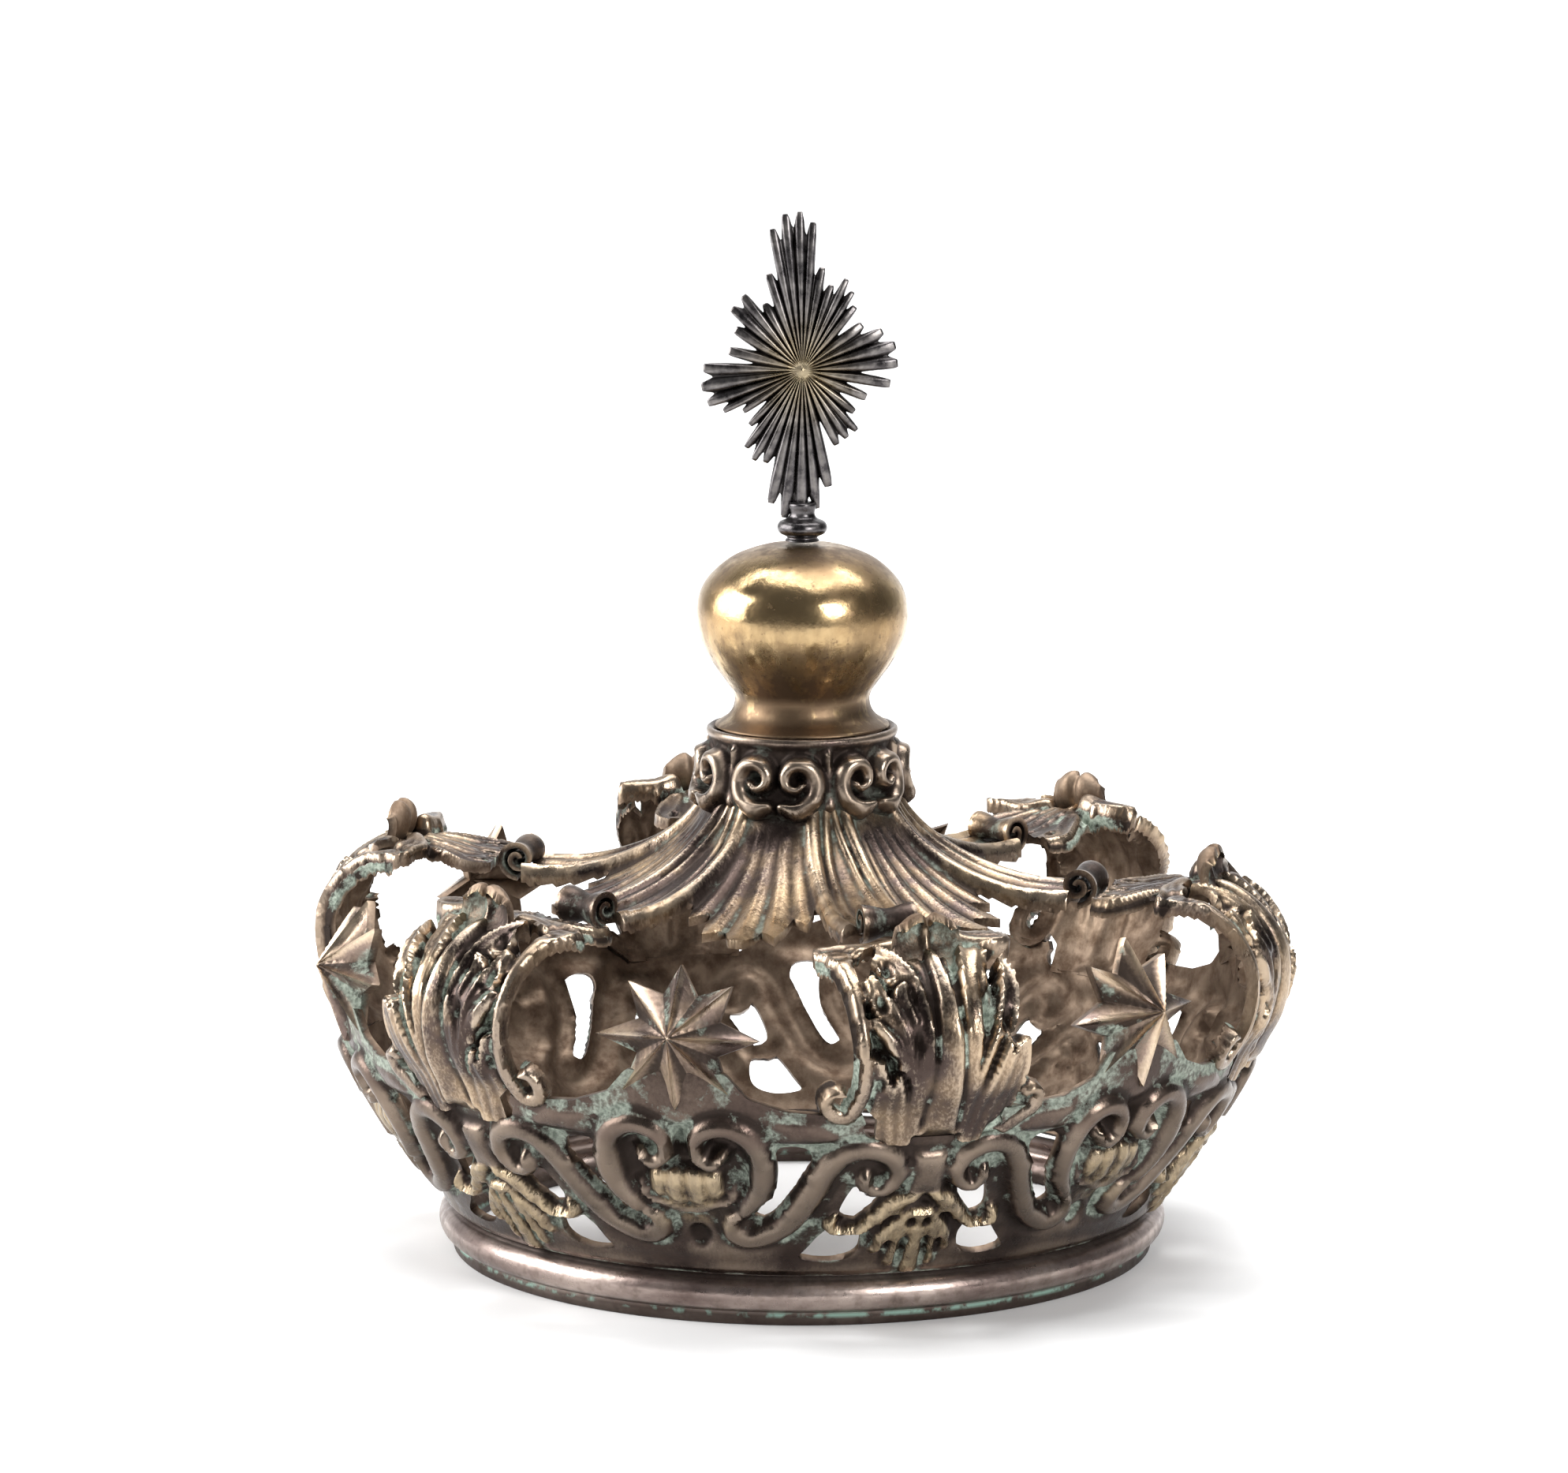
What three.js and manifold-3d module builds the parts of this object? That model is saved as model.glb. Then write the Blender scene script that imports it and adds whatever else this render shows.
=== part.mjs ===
// A closed silver crown for a small statue: a moulded foot ring, a pierced and flaring circlet that
// carries six stars, six acanthus arches, a fluted canopy with a scrolled collar, a gilt orb and a
// rayed cross. Units are millimetres, +Z is up, and the origin is the centre of the foot ring's
// underside. Bearings are degrees about +Z, counted from the front (-Y) towards +X.
import * as THREE from "three";
import { mergeVertices } from "three/addons/utils/BufferGeometryUtils.js";
import Module from "manifold-3d";

const wasm = await Module();
wasm.setup();

// ---- Driving dimensions -------------------------------------------------------------------

const SECTORS = 6;
const SECTOR = 360 / SECTORS;
// The crown was set out by eye, so arches and stars stand a degree or two off even spacing.
const ARCH_BEARINGS = [16, 74, 136, 196, 256, 314];
const STAR_BEARINGS = [-15, 44, 104, 166, 226, 285];

const SHEET = 1.3; // thickness of the chased sheet
const FLATNESS = 0.2; // facets closer to flat than this are merged

// Wall of the circlet from its foot upwards, as radius and height of the outer face.
const WALL_PROFILE = [
  [53.6, 7.7], [56.6, 12], [61, 18.5], [65.8, 26], [69, 33],
  [70.3, 41], [69.6, 46], [67.6, 51], [64.6, 56],
];

// Middle line of an arch from its foot on the circlet, over the shoulder and in to the canopy.
const ARCH_PROFILE = [
  [67.3, 31.3], [70, 35.5], [72.4, 40], [73.4, 45], [72.8, 49.5], [70, 53.8],
  [65.8, 56.8], [61, 57.9], [56, 57.2], [51.5, 56], [47.3, 55.6],
];

const RIM_RADIUS = 55.2;
const RIM_HEIGHT = 7.4;
const STAR_WIDE = 12.3; // length of a star's level rays
const STAR_TALL = 11; // length of its upright rays
const STAR_SLANT = 11.4; // length of the rays between
const STAR_VALLEY = 6.4;
const STAR_HEIGHT = 6;
const STAR_CENTRE = [68.8, 45.4]; // radius and height of the middle of a star's plane
const STAR_LEAN = 10; // degrees the plane leans inwards
const ROLL_RADIUS = 2.8;
const ROLL_LENGTH = 11;
const ROLL_CENTRE = [43.9, 57.7]; // radius and height of the rolled rib ends
const COLLAR_TOP = 79.1;
const CROSS_CENTRE = 133;

// ---- Helpers ------------------------------------------------------------------------------

const rad = THREE.MathUtils.degToRad;
const lerp = THREE.MathUtils.lerp;
const smooth = THREE.MathUtils.smoothstep;

// A point at a radius, bearing and height.
function polar(radius, bearing, height) {
  const a = rad(bearing);
  return new THREE.Vector3(radius * Math.sin(a), -radius * Math.cos(a), height);
}

// Linear interpolation in a table of [key, value] rows.
function table(rows, key) {
  const i = rows.findIndex((row) => key <= row[0]);
  if (i === -1) return rows.at(-1)[1];
  if (i === 0) return rows[0][1];
  const [[k0, v0], [k1, v1]] = [rows[i - 1], rows[i]];
  return lerp(v0, v1, (key - k0) / (k1 - k0));
}

// Even 30-degree steps (arch, star, arch ...) to the bearings where they really stand.
function trueBearing(nominal) {
  const half = SECTOR / 2;
  const k = Math.floor(nominal / half);
  const at = (n) => {
    const turn = Math.floor(n / (2 * SECTORS));
    const m = n - turn * 2 * SECTORS;
    const star = (i) => STAR_BEARINGS[i % SECTORS] + (i >= SECTORS ? 360 : 0);
    return turn * 360 + (m % 2 ? star((m + 1) / 2) : ARCH_BEARINGS[m / 2]);
  };
  return lerp(at(k), at(k + 1), nominal / half - k);
}

// A profile of [radius, height] rows that can be walked by distance.
class Profile {
  constructor(rows) {
    this.curve = new THREE.SplineCurve(rows.map(([r, z]) => new THREE.Vector2(r, z)));
    this.length = this.curve.getLength();
  }
  // Radius and height at a distance along the profile, lifted off it to the outside.
  at(distance, lift = 0) {
    const u = THREE.MathUtils.clamp(distance / this.length, 0, 1);
    const p = this.curve.getPointAt(u);
    const t = this.curve.getTangentAt(u);
    return [p.x + t.y * lift, p.y - t.x * lift];
  }
}

const wall = new Profile(WALL_PROFILE);
const archLine = new Profile(ARCH_PROFILE);

function toSolid(geometry) {
  const bare = geometry.clone();
  bare.deleteAttribute("normal");
  bare.deleteAttribute("uv");
  const merged = mergeVertices(bare, 1e-4);
  const make = (flip) => {
    const triVerts = new Uint32Array(merged.index.array);
    if (flip) triVerts.reverse();
    const vertProperties = merged.attributes.position.array;
    return new wasm.Manifold(new wasm.Mesh({ numProp: 3, vertProperties, triVerts }));
  };
  const solid = make(false);
  return solid.volume() < 0 ? make(true) : solid;
}

function toGeometry(solid) {
  const { numProp, numVert, vertProperties, triVerts } = solid.asOriginal().simplify(FLATNESS).getMesh();
  const position = new Float32Array(numVert * 3);
  for (let i = 0; i < numVert; i++) {
    position.set(vertProperties.subarray(i * numProp, i * numProp + 3), i * 3);
  }
  const geometry = new THREE.BufferGeometry();
  geometry.setAttribute("position", new THREE.BufferAttribute(position, 3));
  geometry.setIndex(new THREE.BufferAttribute(triVerts, 1));
  geometry.computeVertexNormals();
  return geometry;
}

// A closed solid from a grid of stations around or along and loops across: at(i, j) gives a point.
function loft(stations, loopSize, at, closed) {
  const position = [];
  for (let i = 0; i < stations; i++) {
    for (let j = 0; j < loopSize; j++) position.push(...at(i, j).toArray());
  }
  const index = [];
  const quads = closed ? stations : stations - 1;
  for (let i = 0; i < quads; i++) {
    for (let j = 0; j < loopSize; j++) {
      const a = i * loopSize + j;
      const b = i * loopSize + ((j + 1) % loopSize);
      const c = ((i + 1) % stations) * loopSize + j;
      const d = ((i + 1) % stations) * loopSize + ((j + 1) % loopSize);
      index.push(a, b, d, a, d, c);
    }
  }
  const cap = (first, turned) => {
    for (let j = 0; j < loopSize / 2 - 1; j++) {
      const [a, b] = [first + j, first + j + 1];
      const [c, d] = [first + loopSize - 1 - j, first + loopSize - 2 - j];
      index.push(...(turned ? [a, c, b] : [a, b, c]));
      if (b !== d) index.push(...(turned ? [b, c, d] : [b, d, c]));
    }
  };
  if (!closed) {
    cap(0, true);
    cap((stations - 1) * loopSize, false);
  }
  const geometry = new THREE.BufferGeometry();
  geometry.setAttribute("position", new THREE.Float32BufferAttribute(position, 3));
  geometry.setIndex(index);
  return geometry;
}

// A sheet of that thickness: outer(i, k, lift) gives its face, and the loop returns along its back.
function sheetLoft(stations, across, outer, closed, thickness = SHEET) {
  const at = (i, j) => (j < across ? outer(i, j, 0) : outer(i, 2 * across - 1 - j, -thickness));
  return loft(stations, 2 * across, at, closed);
}

// Bends a flat drawing (x sideways, y up the wall, z proud of it) onto the circlet.
function ontoWall(geometry, nominal) {
  const position = geometry.attributes.position;
  for (let i = 0; i < position.count; i++) {
    const [x, y, z] = [position.getX(i), position.getY(i), position.getZ(i)];
    const [radius] = wall.at(y);
    const [r, h] = wall.at(y, z);
    const bearing = trueBearing(nominal + THREE.MathUtils.radToDeg(x / radius));
    position.setXYZ(i, ...polar(r, bearing, h).toArray());
  }
  return geometry;
}

// A closed outline of [x, y] corners, mirrored for the other side.
function outline(corners, side) {
  return new THREE.Shape(corners.map(([x, y]) => new THREE.Vector2(side * x, y)));
}

// A scroll: a band with a ridged face that follows a line of [x, y, width] rows.
function band(rows, side, steps, height, depth = SHEET / 2) {
  const line = new THREE.SplineCurve(rows.map(([x, y]) => new THREE.Vector2(side * x, y)));
  const widths = rows.map(([, , w], i) => [i / (rows.length - 1), w]);
  const section = [[-0.6, -depth], [0.6, -depth], [0, height]];
  const at = (i, j) => {
    const u = i / steps;
    const p = line.getPoint(u);
    const t = line.getTangent(u);
    const [across, lift] = section[j];
    const w = table(widths, u) * across;
    return new THREE.Vector3(p.x - t.y * w, p.y + t.x * w, lift);
  };
  return loft(steps + 1, section.length, at, false);
}

// ---- Foot ring ----------------------------------------------------------------------------

// A plain fillet under a half-round moulding, hollow behind.
function rimGeometry() {
  const middle = 4.5;
  const bulge = 2.5;
  const hollow = 1.2;
  const arc = (r, from, to, n) =>
    Array.from({ length: n }, (_, i) => {
      const a = rad(lerp(from, to, i / (n - 1)));
      const centre = RIM_RADIUS - bulge;
      return new THREE.Vector2(centre + r * Math.cos(a), middle + r * Math.sin(a));
    });
  const profile = [
    new THREE.Vector2(51.4, 0),
    new THREE.Vector2(53, 0),
    new THREE.Vector2(53.1, 1.7),
    ...arc(bulge, -60, 75, 4),
    new THREE.Vector2(53, RIM_HEIGHT),
    new THREE.Vector2(51.7, RIM_HEIGHT),
    new THREE.Vector2(RIM_RADIUS - hollow, middle),
    new THREE.Vector2(51.4, 1.7),
    new THREE.Vector2(51.4, 0),
  ];
  return new THREE.LatheGeometry(profile, 32).rotateX(Math.PI / 2);
}

// ---- Circlet ------------------------------------------------------------------------------

// Pierced openings and scrolls, as drawn on the flat for half a sector: x from the arch's or the
// star's middle line, y up the wall.
const OPENINGS_BY_ARCH = [
  [[9.4, 18.9], [6.3, 17], [5.7, 12.4], [8.8, 10.7], [11.6, 12.4]],
  [[11.3, 10], [8, 8.2], [7.7, 4.2], [11, 2.6], [15.6, 3.3]],
];
const OPENING_BY_STAR = [[12.8, 24.4], [17.8, 24.6], [16.4, 17.7], [12.2, 11.6], [8.2, 11.6], [11.2, 16.6]];
const S_SCROLL = [
  [25.2, 12.4, 1.2], [26, 9.4, 1.8], [22.6, 8, 3], [18.8, 11, 3.8], [16.6, 16.4, 3.8], [15.2, 22, 3.4],
  [12.6, 25.6, 2.8], [9, 26.2, 2.5], [5.9, 24.2, 2.3], [4.8, 20.6, 2], [6.8, 18, 1.8], [8.8, 19.6, 1.4],
];
const C_SCROLL = [
  [7.4, 15.4, 2], [10.7, 19.2, 2.4], [11.6, 24.2, 2.6], [10, 28.8, 2.6], [6.4, 30.6, 2.4],
  [3, 28.9, 2.2], [2.4, 25.4, 1.9], [4.6, 23.7, 1.4],
];
const SHELL = [
  [0, 13.6], [4.4, 15], [6.4, 18.6], [5.4, 22], [0, 22.6], [-5.4, 22], [-6.4, 18.6], [-4.4, 15],
];
const PALMETTE = [
  [0, 17.2], [2.3, 14.6], [6, 9.9], [4, 8.4], [5.2, 2.6], [0, 0.8],
  [-5.2, 2.6], [-4, 8.4], [-6, 9.9], [-2.3, 14.6],
];
// The upper edge between two stars: it dips under the arch's foot and climbs to the star's rays.
const UPPER_EDGE = [[0, 26.6], [9.7, 26.6], [10.4, 31.2], [21, 32], [26.5, 33.8], [29.8, 37]];

// The wall's columns stand where its upper edge turns, so the edge needs no cutting.
function wallSolid() {
  const rows = 4;
  const half = UPPER_EDGE.map(([x, top]) => [THREE.MathUtils.radToDeg(x / wall.at(top)[0]), top]);
  const sector = [...half.slice(1).map(([a, top]) => [-a, top]).reverse(), ...half];
  const columns = ARCH_BEARINGS.flatMap((_, k) => sector.map(([a, top]) => [SECTOR * k + a, top]));
  const outer = (i, j, lift) => {
    const [nominal, top] = columns[i];
    const [r, z] = wall.at((top * j) / (rows - 1), lift);
    return polar(r, trueBearing(nominal), z);
  };
  return toSolid(sheetLoft(columns.length, rows, outer, true));
}

function cutter(shape, nominal) {
  const depth = 6;
  const flat = new THREE.ExtrudeGeometry(shape, { depth, bevelEnabled: false }).translate(0, 0, -depth / 2);
  return toSolid(ontoWall(flat, nominal));
}

function raised(shape, nominal, height) {
  const flat = new THREE.ExtrudeGeometry(shape, { depth: height + SHEET / 2, bevelEnabled: false });
  return toSolid(ontoWall(flat.translate(0, 0, -SHEET / 2), nominal));
}

// An eight-rayed star beaten up from behind: a ridge along every ray, hollow at the back.
function starSolid(nominal) {
  const lengths = [STAR_TALL, STAR_SLANT, STAR_WIDE, STAR_SLANT];
  const points = 16;
  const ring = (lift) =>
    Array.from({ length: points }, (_, i) => {
      const a = (Math.PI * i) / 8 + Math.PI / 2;
      const r = i % 2 ? STAR_VALLEY : lengths[(i / 2) % 4];
      return [r * Math.cos(a), r * Math.sin(a), lift];
    });
  const front = [0, 0, STAR_HEIGHT];
  const back = [0, 0, STAR_HEIGHT - 2 * SHEET];
  const position = [...ring(0), front, ...ring(-SHEET), back];
  const index = [];
  for (let i = 0; i < points; i++) {
    const j = (i + 1) % points;
    const [c, d] = [points + 1 + i, points + 1 + j];
    index.push(points, i, j);
    index.push(2 * points + 1, d, c);
    index.push(i, c, d, i, d, j);
  }
  const geometry = new THREE.BufferGeometry();
  geometry.setAttribute("position", new THREE.Float32BufferAttribute(position.flat(), 3));
  geometry.setIndex(index);
  const bearing = trueBearing(nominal);
  geometry.rotateX(Math.PI / 2 - rad(STAR_LEAN)).rotateZ(rad(bearing));
  geometry.translate(...polar(STAR_CENTRE[0], bearing, STAR_CENTRE[1]).toArray());
  return toSolid(geometry);
}

function circletGeometry() {
  let solid = wallSolid();
  for (let k = 0; k < SECTORS; k++) {
    const arch = SECTOR * k;
    const star = arch - SECTOR / 2;
    for (const side of [-1, 1]) {
      for (const corners of OPENINGS_BY_ARCH) solid = solid.subtract(cutter(outline(corners, side), arch));
      solid = solid.subtract(cutter(outline(OPENING_BY_STAR, side), star));
    }
  }
  for (let k = 0; k < SECTORS; k++) {
    const arch = SECTOR * k;
    const star = arch - SECTOR / 2;
    for (const side of [-1, 1]) {
      solid = solid.add(toSolid(ontoWall(band(S_SCROLL, side, 7, 1.5), arch)));
      solid = solid.add(toSolid(ontoWall(band(C_SCROLL, side, 4, 1.7), star)));
    }
    solid = solid.add(raised(outline(SHELL, 1), star, 1.1));
    solid = solid.add(raised(outline(PALMETTE, 1), arch, 0.8));
    solid = solid.add(starSolid(star));
  }
  return toGeometry(solid);
}

// ---- Arches -------------------------------------------------------------------------------

// Half width of an arch at shares of its length: leaf, shoulder, waist, side lobes and inner end.
const ARCH_WIDTH = [
  [0, 8.8], [0.1, 9.8], [0.2, 12.2], [0.3, 12.6], [0.5, 12.8], [0.6, 11.4],
  [0.7, 10], [0.8, 13.4], [0.9, 8.6], [1, 5],
];
// Face of the leaf across its width, from the middle rib to the bead along its edge.
const LEAF_COLUMNS = [[0, 3.6], [0.45, 2.4], [0.84, 0.3], [1, 0.9]];
const HOOD = [
  [66.2, 56.4, 6.4], [64.7, 57.7, 5.9], [63.4, 59.4, 5.4],
  [62.9, 61.2, 5.1], [63.4, 62.8, 4.8], [64.7, 63.3, 4],
];
const VOLUTE = [[11.6, 3.6], [12.2, 0.6], [14.8, -0.6], [16.8, 1.4], [15.6, 3.8], [13.9, 2.6]];

function archPoint(bearing, lift, distance, x, proud) {
  const [r, z] = archLine.at(distance, proud);
  const [radius] = archLine.at(distance);
  return polar(r, bearing + THREE.MathUtils.radToDeg(x / radius), z + lift * smooth(z, 33, 52));
}

function archSolid(bearing, lift) {
  const stations = 11;
  const columns = [
    ...LEAF_COLUMNS.slice(1).reverse().map(([t, h]) => [-t, h]),
    ...LEAF_COLUMNS,
  ];
  const outer = (i, j, back) => {
    const u = i / (stations - 1);
    const [t, h] = columns[j];
    const crown = h * lerp(0.5, 1, smooth(u, 0, 0.15)) * lerp(1, 0.35, smooth(u, 0.55, 0.75));
    return archPoint(bearing, lift, u * archLine.length, t * table(ARCH_WIDTH, u), crown + back);
  };
  return toSolid(sheetLoft(stations, columns.length, outer, false));
}

// The leaf's tip stands up off the shoulder and turns outwards over two small hollows.
function hoodSolid(bearing, lift) {
  const line = new THREE.SplineCurve(HOOD.map(([r, z]) => new THREE.Vector2(r, z)));
  const across = [-1, -0.4, 0.4, 1];
  const cup = [1.8, 0.2, 0.2, 1.8];
  const stations = 5;
  const outer = (i, j, back) => {
    const u = i / (stations - 1);
    const p = line.getPoint(u);
    const t = line.getTangent(u);
    const proud = cup[j] * u + back;
    const half = table(HOOD.map(([, , w], k) => [k / (HOOD.length - 1), w]), u);
    const [r, z] = [p.x + t.y * proud, p.y - t.x * proud];
    return polar(r, bearing + THREE.MathUtils.radToDeg((across[j] * half) / p.x), z + lift);
  };
  return toSolid(sheetLoft(stations, across.length, outer, false, 1.5));
}

// The bead along the leaf's edge ends low down in a volute that turns away from the leaf.
function voluteSolid(bearing, lift, side) {
  const foot = 5.9;
  const rows = VOLUTE.map(([x, y], i) => [x, y + foot, lerp(2.2, 1.5, i / (VOLUTE.length - 1))]);
  const flat = band(rows, side, 5, 1.3);
  const position = flat.attributes.position;
  for (let i = 0; i < position.count; i++) {
    const p = archPoint(bearing, lift, position.getY(i), position.getX(i), position.getZ(i));
    position.setXYZ(i, ...p.toArray());
  }
  return toSolid(flat);
}

function archGeometry(bearing, lift) {
  const solid = archSolid(bearing, lift)
    .add(hoodSolid(bearing, lift))
    .add(voluteSolid(bearing, lift, 1))
    .add(voluteSolid(bearing, lift, -1));
  return toGeometry(solid);
}

// ---- Canopy -------------------------------------------------------------------------------

const RIB_LINE = [
  [14.7, 68.2], [16.5, 65.4], [19.6, 62.3], [24.4, 59.2], [30.2, 56.9], [36.5, 55.6], [43, 55.6],
];
const FAN_DROP = [[14, 0], [20, 0.5], [28, 1.2], [40, 2.6]]; // how far the fans lie below the ribs
const RIB_HALF = [[14.7, 3.7], [20, 4.8], [33, 6], [43, 6.2]]; // half width of a rib by radius
// Shares of the way across a rib, with the height of its face there, then across a fan with its length.
const RIB_COLUMNS = [[-1, 0.2], [-0.82, 1.1], [-0.6, 0.1], [0.6, 0.1], [0.82, 1.1], [1, 0.2]];
const FAN_COLUMNS = [[0.03, 28], [0.2, 31], [0.38, 37.5], [0.5, 34], [0.62, 37.5], [0.8, 31], [0.97, 28]];

function canopySheet() {
  const rows = 4;
  const line = new THREE.SplineCurve(RIB_LINE.map(([r, z]) => new THREE.Vector2(r, z)));
  const [first] = RIB_LINE[0];
  const perSector = RIB_COLUMNS.length + FAN_COLUMNS.length;
  const height = (radius) => {
    let [lo, hi] = [0, 1];
    for (let n = 0; n < 30; n++) {
      const u = (lo + hi) / 2;
      if (line.getPoint(u).x < radius) lo = u;
      else hi = u;
    }
    return line.getPoint(lo).y;
  };
  const outer = (i, j, back) => {
    const sector = Math.floor(i / perSector);
    const k = i % perSector;
    const rib = k < RIB_COLUMNS.length;
    const [share, value] = rib ? RIB_COLUMNS[k] : FAN_COLUMNS[k - RIB_COLUMNS.length];
    const edge = rib ? 43 : value;
    const radius = lerp(first, edge, j / (rows - 1));
    const half = THREE.MathUtils.radToDeg(table(RIB_HALF, radius) / radius);
    const nominal = rib ? share * half : lerp(half, SECTOR - half, share);
    const flute = k % 2 ? 0.5 : 0;
    const face = rib ? value : flute - table(FAN_DROP, radius);
    const bearing = trueBearing(SECTOR * sector + nominal);
    return polar(radius, bearing, height(radius) + face + back * 1.1);
  };
  return toSolid(sheetLoft(SECTORS * perSector, rows, outer, true, SHEET));
}

function rollSolid(bearing) {
  const [radius, height] = ROLL_CENTRE;
  const roll = new THREE.CylinderGeometry(ROLL_RADIUS, ROLL_RADIUS, ROLL_LENGTH, 7);
  roll.rotateZ(Math.PI / 2).rotateZ(rad(bearing));
  return toSolid(roll.translate(...polar(radius, bearing, height).toArray()));
}

function collarSolid() {
  const profile = [
    [11.6, 67], [14.4, 67], [14.9, 68.6], [13.7, 71], [13.7, 77.2],
    [14.2, COLLAR_TOP], [11.6, COLLAR_TOP], [11.6, 67],
  ];
  return toSolid(
    new THREE.LatheGeometry(profile.map(([r, z]) => new THREE.Vector2(r, z)), 18).rotateX(Math.PI / 2),
  );
}

// One of a pair of C-scrolls on the collar.
function collarScroll(bearing, side) {
  const radius = 14.6;
  const rows = [
    [0.9, 3.9, 1.7], [3.8, 4, 1.9], [5.8, 1.6, 2], [6, -1.8, 2],
    [3.8, -4, 1.9], [1.3, -2.8, 1.7], [2, -0.2, 1.4],
  ];
  const flat = band(rows, side, 4, 2.6, 1.2);
  const position = flat.attributes.position;
  for (let i = 0; i < position.count; i++) {
    const at = bearing + THREE.MathUtils.radToDeg(position.getX(i) / radius);
    const p = polar(radius + position.getZ(i), at, 74 + position.getY(i));
    position.setXYZ(i, ...p.toArray());
  }
  return toSolid(flat);
}

function canopyGeometry() {
  let solid = canopySheet().add(collarSolid());
  for (let k = 0; k < SECTORS; k++) {
    solid = solid.add(rollSolid(ARCH_BEARINGS[k]));
    for (const side of [-1, 1]) solid = solid.add(collarScroll(STAR_BEARINGS[k], side));
  }
  return toGeometry(solid);
}

// ---- Orb and cross ------------------------------------------------------------------------

// A spun orb on its flared neck, one hollow shell that is open at the bottom.
function orbGeometry() {
  const neck = [[13.2, 79.4], [11.8, 80.5], [10.5, 82], [10.2, 84]];
  const ball = [
    [12, 86.8], [14.8, 90.6], [16, 95.6], [15.7, 98.6], [13.8, 102.2], [10.2, 105.1], [5.8, 106.6],
  ];
  const outside = [...neck, ...ball];
  const back = [
    [12.1, 79.4], [9.3, 81.8], [9, 84.4], [13.6, 90.9], [14.8, 95.8],
    [14.4, 98.4], [12.6, 101.6], [9.4, 104.1], [0, 105.8],
  ];
  const profile = [...outside, [0, 106.9]];
  const points = [...profile, ...back.reverse()];
  points.push(points[0]);
  return new THREE.LatheGeometry(points.map(([r, z]) => new THREE.Vector2(r, z)), 22).rotateX(Math.PI / 2);
}

// Bundles of rays: direction, spread either side, number of rays, length at the middle and the sides.
const RAY_BUNDLES = [
  [93, 8, 6, 24, 20], [63, 9, 4, 14, 12], [9, 21, 7, 14.6, 13.4], [-49, 12, 5, 12.6, 10.5],
  [-90, 8, 5, 21.5, 18], [-125, 11, 5, 13.4, 11.6], [189, 20, 7, 15.6, 13.6], [130, 11, 5, 13.6, 11.4],
];

function crossShape() {
  const points = [];
  for (const [direction, spread, count, long, short] of [...RAY_BUNDLES].reverse()) {
    for (let i = count - 1; i >= 0; i--) {
      const share = count > 1 ? (2 * i) / (count - 1) - 1 : 0;
      const a = rad(direction - share * spread);
      const reach = lerp(long, short, share * share);
      const half = rad(spread / count) * 0.8;
      const notch = reach * 0.84;
      points.push([a + half * 1.2, notch], [a, reach]);
    }
    points.push([rad(direction - spread) - rad(5), 8]);
  }
  points.sort((p, q) => p[0] - q[0]);
  return new THREE.Shape(points.map(([a, r]) => new THREE.Vector2(r * Math.cos(a), r * Math.sin(a))));
}

function crossGeometry() {
  const thickness = 2.2;
  const plate = new THREE.ExtrudeGeometry(crossShape(), { depth: thickness, bevelEnabled: false });
  plate.rotateX(Math.PI / 2).translate(0, thickness / 2, CROSS_CENTRE);
  const knop = [
    [0, 107.2], [2.6, 107.2], [2.3, 107.9], [3.8, 109.2], [3.5, 110.4], [2, 111.1], [2.2, 113.5], [0, 113.5],
  ];
  const line = knop.map(([r, z]) => new THREE.Vector2(r, z));
  const turned = new THREE.LatheGeometry(line, 12).rotateX(Math.PI / 2);
  return toGeometry(toSolid(plate).add(toSolid(turned)));
}

// ---- Assembly -----------------------------------------------------------------------------

const silver = new THREE.MeshStandardMaterial({ color: 0x8f8076, roughness: 0.38, metalness: 1 });
const darkSilver = new THREE.MeshStandardMaterial({ color: 0x5d5450, roughness: 0.42, metalness: 1 });
const gilt = new THREE.MeshStandardMaterial({ color: 0xb89a62, roughness: 0.25, metalness: 1 });

const crown = new THREE.Group();
crown.name = "statue_crown";

function add(name, geometry, material) {
  const mesh = new THREE.Mesh(geometry, material);
  mesh.name = name;
  crown.add(mesh);
}

const ARCH_LIFTS = [-1.6, 0.2, 0.5, 1, 1.4, -0.6]; // how far each arch's shoulder stands off true

add("foot_ring", rimGeometry(), silver);
add("circlet", circletGeometry(), silver);
ARCH_BEARINGS.forEach((bearing, i) => {
  add(`arch_${i + 1}`, archGeometry(bearing, ARCH_LIFTS[i]), silver);
});
add("canopy", canopyGeometry(), silver);
add("orb", orbGeometry(), gilt);
add("cross", crossGeometry(), darkSilver);

export default crown;
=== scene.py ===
"""A small silver statue crown in a white studio: chased and pierced sheet with a brown tarnish and
verdigris in its recesses, a gilt orb and a blackened cross. Drawings are in millimetres on the
crown's own surfaces; bearings are degrees about +Z, counted from the front (-Y) towards +X."""

import math

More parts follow.
